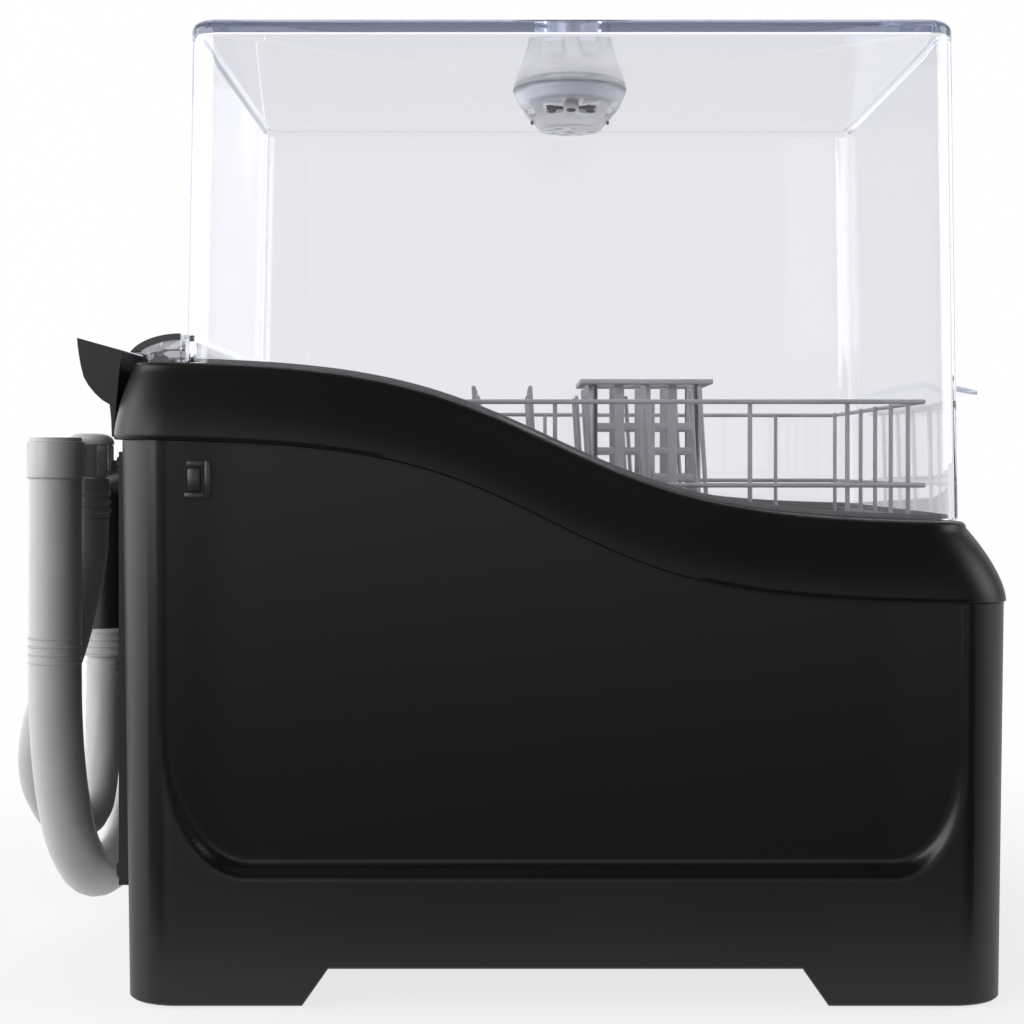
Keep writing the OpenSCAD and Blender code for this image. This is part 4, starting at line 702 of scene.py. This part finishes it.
# a wire that crosses another lies this far inside it
inset = 3.05
bm = bmesh.new()
for height in (rack_floor, rack_ring, rack_rim):
    for s in (-1, 1):
        wire(bm, (rack_x0, s * rack_y, height), (rack_x1, s * rack_y, height), ends=True)
    for x in (rack_x0, rack_x1):
        wire(bm, (x, -rack_y, height), (x, rack_y, height))
# the wires that run across lie over the lengthwise ones, and all bend up inside the rings
for i in range(7):
    x = rack_x1 - 36 - 46.8 * i
    y = rack_y - inset
    for s in (-1, 1):
        wire(bm, (x, s * y, rack_floor + inset), (x, s * y, rack_rim), ends=True)
    wire(bm, (x, -y, rack_floor + inset), (x, y, rack_floor + inset))
for j in range(-3, 3):
    y = (j + 0.5) * 43
    for x in (rack_x0 + inset, rack_x1 - inset):
        wire(bm, (x, y, rack_floor), (x, y, rack_rim), ends=True)
    wire(bm, (rack_x0 + inset, y, rack_floor), (rack_x1 - inset, y, rack_floor))
finish_piece(bm, "rack_wires", nylon_dip, "rack", ["rack"], 60)

bm = bmesh.new()
low = rack_floor + 2 * inset + 0.05
start_x = rack_x0 + 14
count, pitch = 8, 28
for y in (-rack_y + 34, -47, 47, rack_y - 34):
    wire(bm, (start_x - 6, y, low), (start_x + count * pitch + 6, y, low), ends=True)
    for i in range(count + 1):
        x = start_x + pitch * i
        wire(bm, (x, y, low), (x - 8, y, 287), ends=True)
finish_piece(bm, "plate_tine_wires", nylon_dip, "rack", ["plate_tines"], 60)

# ---------------------------------------------------------------- cutlery basket
# The cutlery basket is an open grid moulded in grey polypropylene: a floor, four walls with
# upright bars and flat bands between them, and a broad flat rim clipped round the top.
basket_grey = moulded("moulded_polypropylene_dark_grey", "#7a797e", "#87868b", 0.45, 0.9, 0.03,
    30)
cut_x, half, rim, cut_low, cut_top = rear + 252, 28.0, 35, 154.7, 294.0
thick, bar = 2.4, 5
bm = bmesh.new()
for x0, x1, y0, y1 in (
        (-rim, rim, -rim, thick - half), (-rim, rim, half - thick, rim),
        (-rim, thick - half, 2.3 - half, half - 2.3),
        (half - thick, rim, 2.3 - half, half - 2.3)):
    block(bm, (cut_x + x0, y0, cut_top - 2.6), (cut_x + x1, y1, cut_top), 0.5)
gap = (2 * half - 2 * thick - 3 * bar) / 4
bars = [(-half, thick)] + [(thick - half + gap + i * (gap + bar), bar) for i in range(3)]
bars.append((half - thick, thick))
for start, width in bars:
    stop = start + width
    for s in (-1, 1):
        low, high = s * half - thick * (s > 0), s * half + thick * (s < 0)
        block(bm, (cut_x + start, low, cut_low), (cut_x + stop, high, cut_top - 1), 0.4)
        block(bm, (cut_x + low, start, cut_low), (cut_x + high, stop, cut_top - 1), 0.4)
    block(bm, (cut_x + start, 1 - half, cut_low), (cut_x + stop, half - 1, cut_low + thick), 0.3)
    block(bm, (cut_x - half + 1, start, cut_low), (cut_x + half - 1, stop, cut_low + thick), 0.3)
for height in (cut_low, 175, 200, 225, 240, 254, 267):
    for s in (-1, 1):
        y = s * (half - 1.2)
        block(bm, (cut_x - half, y - 1, height), (cut_x + half, y + 1, height + 4), 0.3)
        block(bm, (cut_x + y - 1, -half, height), (cut_x + y + 1, half, height + 4), 0.3)
finish_piece(bm, "cutlery_basket_moulding", basket_grey, "basket",
    ["cutlery_basket"], 40)

# ---------------------------------------------------------------- lid
# The lid is a deep hood moulded in clear plastic, with 4 mm walls that lean in slightly to a
# flat top. Its polished edges show a dark blue grey, and a broad grip stands out in front.


def see_through(name, colour, ior, shade, last_bounce=None):
    """Clear plastic that lets lamp light through as a plain pale shade. Light that has been
    to and fro inside the wall more often than last_bounce leaves it in the same way."""
    made, tree, glass = blank(name)
    glass.inputs["Base Color"].default_value = linear(colour)
    glass.inputs["Transmission Weight"].default_value = 1.0
    glass.inputs["IOR"].default_value = ior
    ray = add_node(tree, "ShaderNodeLightPath").outputs
    leave = ray["Is Shadow Ray"]
    if last_bounce:
        leave = maths(tree, "MAXIMUM", leave,
            maths(tree, "GREATER_THAN", ray["Ray Depth"], last_bounce))
    pass_light = add_node(tree, "ShaderNodeBsdfTransparent", {"Color": linear(shade)})
    both = add_node(tree, "ShaderNodeMixShader", {}, {0: leave, 1: glass.outputs[0],
        2: pass_light.outputs[0]})
    tree.links.new(both.outputs[0], tree.nodes["Material Output"].inputs["Surface"])
    return made, tree, glass


clear, tree, glass = see_through("clear_polished_styrene_acrylic", "#f5f5f7", 1.46, "#fafaff",
    4.5)
glass.inputs["Roughness"].default_value = 0.02
wave = add_node(tree, "ShaderNodeBump", {"Strength": 0.06, "Distance": 0.002},
    {"Height": noise(tree, 9, 1)})
tree.links.new(wave.outputs["Normal"], glass.inputs["Normal"])
# the plastic's own tint shows only where light runs a long way through it
tint = add_node(tree, "ShaderNodeVolumeAbsorption", {"Color": linear("#aab4c4"), "Density": 9.0})
tree.links.new(tint.outputs[0], tree.nodes["Material Output"].inputs["Volume"])

# middle and radius of the vent's hole, and the lid's upper face and roof thickness
vent_x, vent_hole, lid_top, roof = rear + 212.5, 20.1, 460, 6


def level_ring(box, z):
    """Points round a rectangle at one height."""
    return [(x, y, z) for x, y in loop_points(box)]


def vent_ring(radius, z):
    """A circle round the vent with one point for each point of the lid's rings."""
    ring = []
    for x, y in loop_points(lid_head):
        w = math.atan2(y, x - vent_x)
        ring.append((vent_x + radius * math.cos(w), radius * math.sin(w), z))
    return ring


def long_bar(bm, shape, y0, y1):
    """Draws a solid of one outline, given in x and z, from one side to the other."""
    cut = bm.faces.new([bm.verts.new((x, y0, z)) for x, z in shape])
    pulled = bmesh.ops.extrude_face_region(bm, geom=[cut])["geom"]
    bmesh.ops.translate(bm, vec=(0, y1 - y0, 0),
        verts=[g for g in pulled if isinstance(g, bmesh.types.BMVert)])


bm = bmesh.new()
rings = [vent_ring(vent_hole, lid_top), vent_ring(vent_hole, lid_top - roof),
    level_ring(wider(lid_head, -8), lid_top - roof)]
for i in range(1, 5):
    w = math.radians(90 * i / 4)
    rings.append(level_ring(wider(lid_head, -4 - 3 * (1 - math.sin(w))),
        lid_top - roof - 3 + 3 * math.cos(w)))
rings.append(swept(wider(lid_foot, -4), 1, 0.4))
rings.append(swept(wider(lid_foot, -0.6), 1, 0.4))
rings.append(swept(lid_foot, 1, 1))
for i in range(6):
    w = math.radians(90 * i / 5)
    rings.append(level_ring(wider(lid_head, -5 * (1 - math.cos(w))),
        lid_top - 5 + 5 * math.sin(w)))
wrap_grid(bm, rings, closed=True)
grip = bmesh.new()
long_bar(grip, ((196.7, 288.2), (221, 284), (221, 286.4), (196.7, 291.8)), -71, 71)
upright = [e for e in grip.edges if all(v.co.x > 220 for v in e.verts)]
bmesh.ops.bevel(grip, geom=upright, offset=0.9, affect="EDGES", segments=3, profile=0.5,
    material=-1)
bmesh.ops.recalc_face_normals(grip, faces=grip.faces)
merge(bm, grip)
finish_piece(bm, "lid_hood", clear, "lid", ["lid"], 40)

# ---------------------------------------------------------------- hinge cowl and hinges
# A clear quarter-round cowl is bonded to the lid's rear wall and covers the two hinges. Each
# hinge is a clear arm on a steel pin between two black cheeks screwed to the deck.
cowl_z = sweep(rear + 3.8, 1) + 0.4
wall_x = lid_foot[0] - 0.05
# height of the cowl's lower edge, half its width, and where its ends drawn in dark grey as
# painted shade begin
cut_z, cowl_y, painted_shade_end_y = 302, 144.5, 139
bm = bmesh.new()
turns = [math.radians(90 * i / 22) for i in range(23)]
strip = [(wall_x - 25.4 * math.sin(w), cowl_z + 13.6 * math.cos(w)) for w in turns]
strip = [(x, z) for x, z in strip if x > wall_x - 15.1 or z > cut_z]
back = [(wall_x - 22.4 * math.sin(w), cowl_z + 10.6 * math.cos(w)) for w in turns[::-1]]
back = [(x, z) for x, z in back if z > cut_z + 0.1 or x > wall_x - 14.9]
for side_y in (-cowl_y, cowl_y - 3):
    long_bar(bm, back[::-1] + [(wall_x - 15, cut_z), (wall_x - 15, cowl_z), (wall_x, cowl_z)],
        side_y, side_y + 3)
long_bar(bm, strip + back, -painted_shade_end_y, painted_shade_end_y)
finish_piece(bm, "hinge_cowl_clear", clear, "lid", ["lid_cowl"], 30)
# the cut ends of the cowl's roof are drawn in opaque dark grey, painted shade for how the clear
# ends read as dark arcs
cowl_end_painted_shade = moulded("cowl_end_painted_shade_grey", "#3a3a3d", "#434346", 0.2, 0.5, 0.004, 60)
bm = bmesh.new()
long_bar(bm, strip + back, -cowl_y, -painted_shade_end_y)
long_bar(bm, strip + back, painted_shade_end_y, cowl_y)
finish_piece(bm, "hinge_cowl_edges", cowl_end_painted_shade, "lid", [], 30)
dress(clear, "lid_arm_l", "lid_arm_r")
dress(technical_black, "hinge_block_l", "hinge_block_r")

# ---------------------------------------------------------------- lid vent
# A round vent lets steam out of the lid: a flat cap outside, a collar through the top, and a
# clear bowl with slots twisted on underneath to catch the drops.
frosted, tree, glass = see_through("frosted_polycarbonate", "#f4f4f5", 1.5, "#ececee")
tree.links.new(ramp(tree, noise(tree, 180, 2), 0, 1, 0.28, 0.4), glass.inputs["Roughness"])
collar_grey = moulded("translucent_collar_grey", "#a2a3a7", "#adaeb2", 0.4, 0.8, 0.02, 12)
dress(collar_grey, "vent_collar")
bm = bmesh.new()
rounded(bm, [(8, 447.5), (15.2, 447.5), (15.2, 451), (19.9, 451.4), (20, 460.1), (30, 460.1),
    (30, 461.6), (26, 463.4), (20, 464.5), (8, 464.8)], (vent_x, 0), 72)
finish_piece(bm, "vent_cap_clear", frosted, "lid", ["vent_cap"], 30)
# the bowl's wall is turned, its slots are cut, and then it gets its thickness
bm = bmesh.new()
turn(bm, [(0.01, 431.2), (9, 431.2), (13, 431.2), (15.9, 431.3), (17, 432.2), (20.6, 436.3),
    (22.6, 438.4), (25.1, 441.4), (27.6, 445.4), (29.6, 450), (31.0, 453.6)], (vent_x, 0), 72)
slots = []
for face in bm.faces:
    middle = face.calc_center_median()
    w = math.degrees(math.atan2(middle.y, middle.x - vent_x)) % 45
    far = math.hypot(middle.x - vent_x, middle.y)
    in_side = 438.4 < middle.z < 441.4 and 10 < w < 35
    if in_side or (middle.z < 431.6 and 9 < far < 13 and w < 20):
        slots.append(face)
bmesh.ops.delete(bm, geom=slots, context="FACES")
bowl = finish_piece(bm, "vent_bowl_clear", frosted, "vent", ["vent_bowl"], 40)
wall = bowl.modifiers.new("wall", "SOLIDIFY")
wall.thickness = 0.0014
wall.offset = 1
# a dark seal hangs on the cap's neck, and small rubber flaps hang inside the bowl's slots
bm = bmesh.new()
rounded(bm, [(13.2, 444.4), (14.4, 444.4), (14.7, 444.8), (14.4, 447.4), (13.2, 447.4)],
    (vent_x, 0), 72)
finish_piece(bm, "vent_seal_rubber", seal_rubber, "lid", [], 40)
bm = bmesh.new()
for turned, out, height in ((-90, 23.2, 438.6), (-116, 23.2, 438.6), (-64, 23.2, 438.6),
        (0, 20.6, 435.8), (180, 20.6, 435.8)):
    w = math.radians(turned)
    bmesh.ops.create_uvsphere(bm, u_segments=16, v_segments=10, radius=1.0,
        matrix=Matrix.Translation((vent_x + out * math.cos(w), out * math.sin(w), height))
        @ Matrix.Rotation(w, 4, "Z") @ Matrix.Diagonal((0.8, 2.7, 1.1, 1)))
finish_piece(bm, "vent_flap_rubber", seal_rubber, "vent", [], 40)

# ---------------------------------------------------------------- drip guard
# A black gutter is clipped along the deck's rear edge. It catches the water that runs off
# the open lid, and its upswept blade hides the gap behind the hinges.
outside = [(-221, 308.6), (-220.7, 305), (-220.2, 301.2), (-219.2, 295.5), (-217.9, 290.2),
    (-215.6, 286.2), (-212.4, 282.3), (-209, 279.2), (-205.6, 277.2)]
flange = [(-204.9, 270), (-204.6, 261.9), (-203.0, 261.9), (-202.2, 277.2), (-200.4, 295.4),
    (-198.9, 302.4)]
channel = [(-200.9, 303), (-200.9, 296.6), (-204.6, 282.2), (-210, 284), (-214.2, 288.8),
    (-217.4, 294.6), (-218.8, 302.6), (-218.8, 307.9)]
guard_black = moulded("fine_matt_abs_black", "#101011", "#161617", 0.48, 0.5, 0.02, 60)
bm = bmesh.new()
for y0, y1, shapes in (
        (-148, -145.5, [outside + flange]), (145.5, 148, [outside + flange]),
        (-145.5, 145.5, [outside + [(-204.6, 276.5)] + channel[2:],
            outside[-1:] + flange + channel[:3] + [(-204.8, 277.4)]])):
    for shape in shapes:
        long_bar(bm, shape, y0, y1)
finish_piece(bm, "drip_guard_moulding", guard_black, "machine",
    ["drip_guard"], 30, bevel=0.4)

# ---------------------------------------------------------------- side switch
# The power switch is a small black rocker in a square bezel, set in the sunk side panel just
# under the deck. The rocker turns a few degrees about its upright axis.
switch_black = moulded("satin_nylon_black", "#2b2b2d", "#333335", 0.3, 0.5, 0.015, 20)
sx, sz = rear + 35.2, 242.0
bm = bmesh.new()
for x0, x1, z0, z1 in ((-7.7, -4.7, -8.75, 8.75), (4.7, 7.7, -8.75, 8.75),
        (-4.8, 4.8, 5.8, 8.75), (-4.8, 4.8, -8.75, -5.8)):
    block(bm, (sx + x0, -173.5, sz + z0), (sx + x1, -170.8, sz + z1), 0.5)
for x0, x1, y0 in ((-5.4, -4.7, -171), (4.7, 5.4, -171), (-4.8, 4.8, -161.6)):
    block(bm, (sx + x0, y0, sz - 6.4), (sx + x1, -156, sz + 6.4))
finish_piece(bm, "switch_bezel_nylon", switch_black, "machine", ["switch_bezel"])
bm = bmesh.new()
rounded(bm, [(0.01, sz - 5.4), (4.4, sz - 5.4), (4.9, sz - 4.9), (4.9, sz + 4.9), (4.4, sz + 5.4),
    (0.01, sz + 5.4)], (sx, -167.5), 48)
block(bm, (sx - 3, -174.9, sz - 5.4), (sx + 3, -169, sz + 5.4), 0.9)
finish_piece(bm, "switch_rocker_nylon", switch_black, "power_rocker",
    ["switch_rocker"])

# ---------------------------------------------------------------- front controls
# A polished black strip is let into the front wall, with three round keys that a finger
# pushes in against their springs.
polished_black = moulded("polished_abs_black", "#0c0c0d", "#101011", 0.12, 0.5, 0.002, 60)
key_grey = moulded("satin_abs_grey", "#3a3b3e", "#444549", 0.35, 0.5, 0.01, 15)
dress(polished_black, "control_panel", "power_inlet")
key_z = 161
for key, y in (("power", -26), ("program", 0), ("start", 26)):
    bm = bmesh.new()
    profile = [(0.01, -5.8), (7.5, -5.8), (7.5, -4.2), (6, -4.2), (6, -0.6), (5.6, -0.15),
        (4.4, -0.02), (3.0, -0.25), (0.01, -0.5)]
    turn(bm, profile, (0, 0), 56)
    bmesh.ops.rotate(bm, cent=(0, 0, 0), verts=bm.verts,
        matrix=Matrix.Rotation(math.pi / 2, 3, "Y"))
    bmesh.ops.translate(bm, vec=(front + 0.6, y, key_z), verts=bm.verts)
    finish_piece(bm, key + "_key_cap", key_grey, key + "_key",
        ["button_" + key], 50)

# ---------------------------------------------------------------- rear panel and pipes
# A flat ABS panel closes the rear, held by six screws. It carries the power socket, the
# bracket for the parked hose ends, and two black elbows that turn down to the hoses.
panel_black = moulded("grained_abs_black", "#111112", "#171718", 0.5, 0.8, 0.03, 60)
dress(panel_black, "rear_panel", "hose_holder")
elbow_black = moulded("satin_nylon_pipe_black", "#161617", "#1d1d1e", 0.36, 0.8, 0.02, 40)
pipe_z, bend, panel_x = 240, 12, rear - 4.8
circle = [(math.cos(math.tau * k / 40), math.sin(math.tau * k / 40)) for k in range(40)]
for name, end, radius, node in (
        ("drain_elbow", drain_route[-1], 12, "drain_outlet"),
        ("fill_elbow", fill_route[-1], 10.5, "fill_inlet")):
    bm = bmesh.new()
    x, y, z = end
    flange = radius + 4
    rings = [[(x + r * c, y + r * s, height) for c, s in circle]
        for r, height in ((radius - 3, pipe_z - 4), (radius - 3, z + 0.1), (radius, z + 0.1))]
    for k in range(9):
        w = math.radians(90 * k / 8)
        centre = Vector((x + bend * (1 - math.cos(w)), y, pipe_z - bend + bend * math.sin(w)))
        out = Vector((-math.cos(w), 0, math.sin(w)))
        rings.append([centre - radius * c * out + Vector((0, radius * s, 0)) for c, s in circle])
    rings += [[(panel_x - back, y + r * s, pipe_z - r * c) for c, s in circle]
        for back, r in ((3, radius), (3, flange), (0.1, flange), (0.1, 3))]
    wrap_grid(bm, rings)
    bmesh.ops.holes_fill(bm, edges=[e for e in bm.edges if e.is_boundary], sides=0)
    finish_piece(bm, name, elbow_black, "machine", [node], 50)
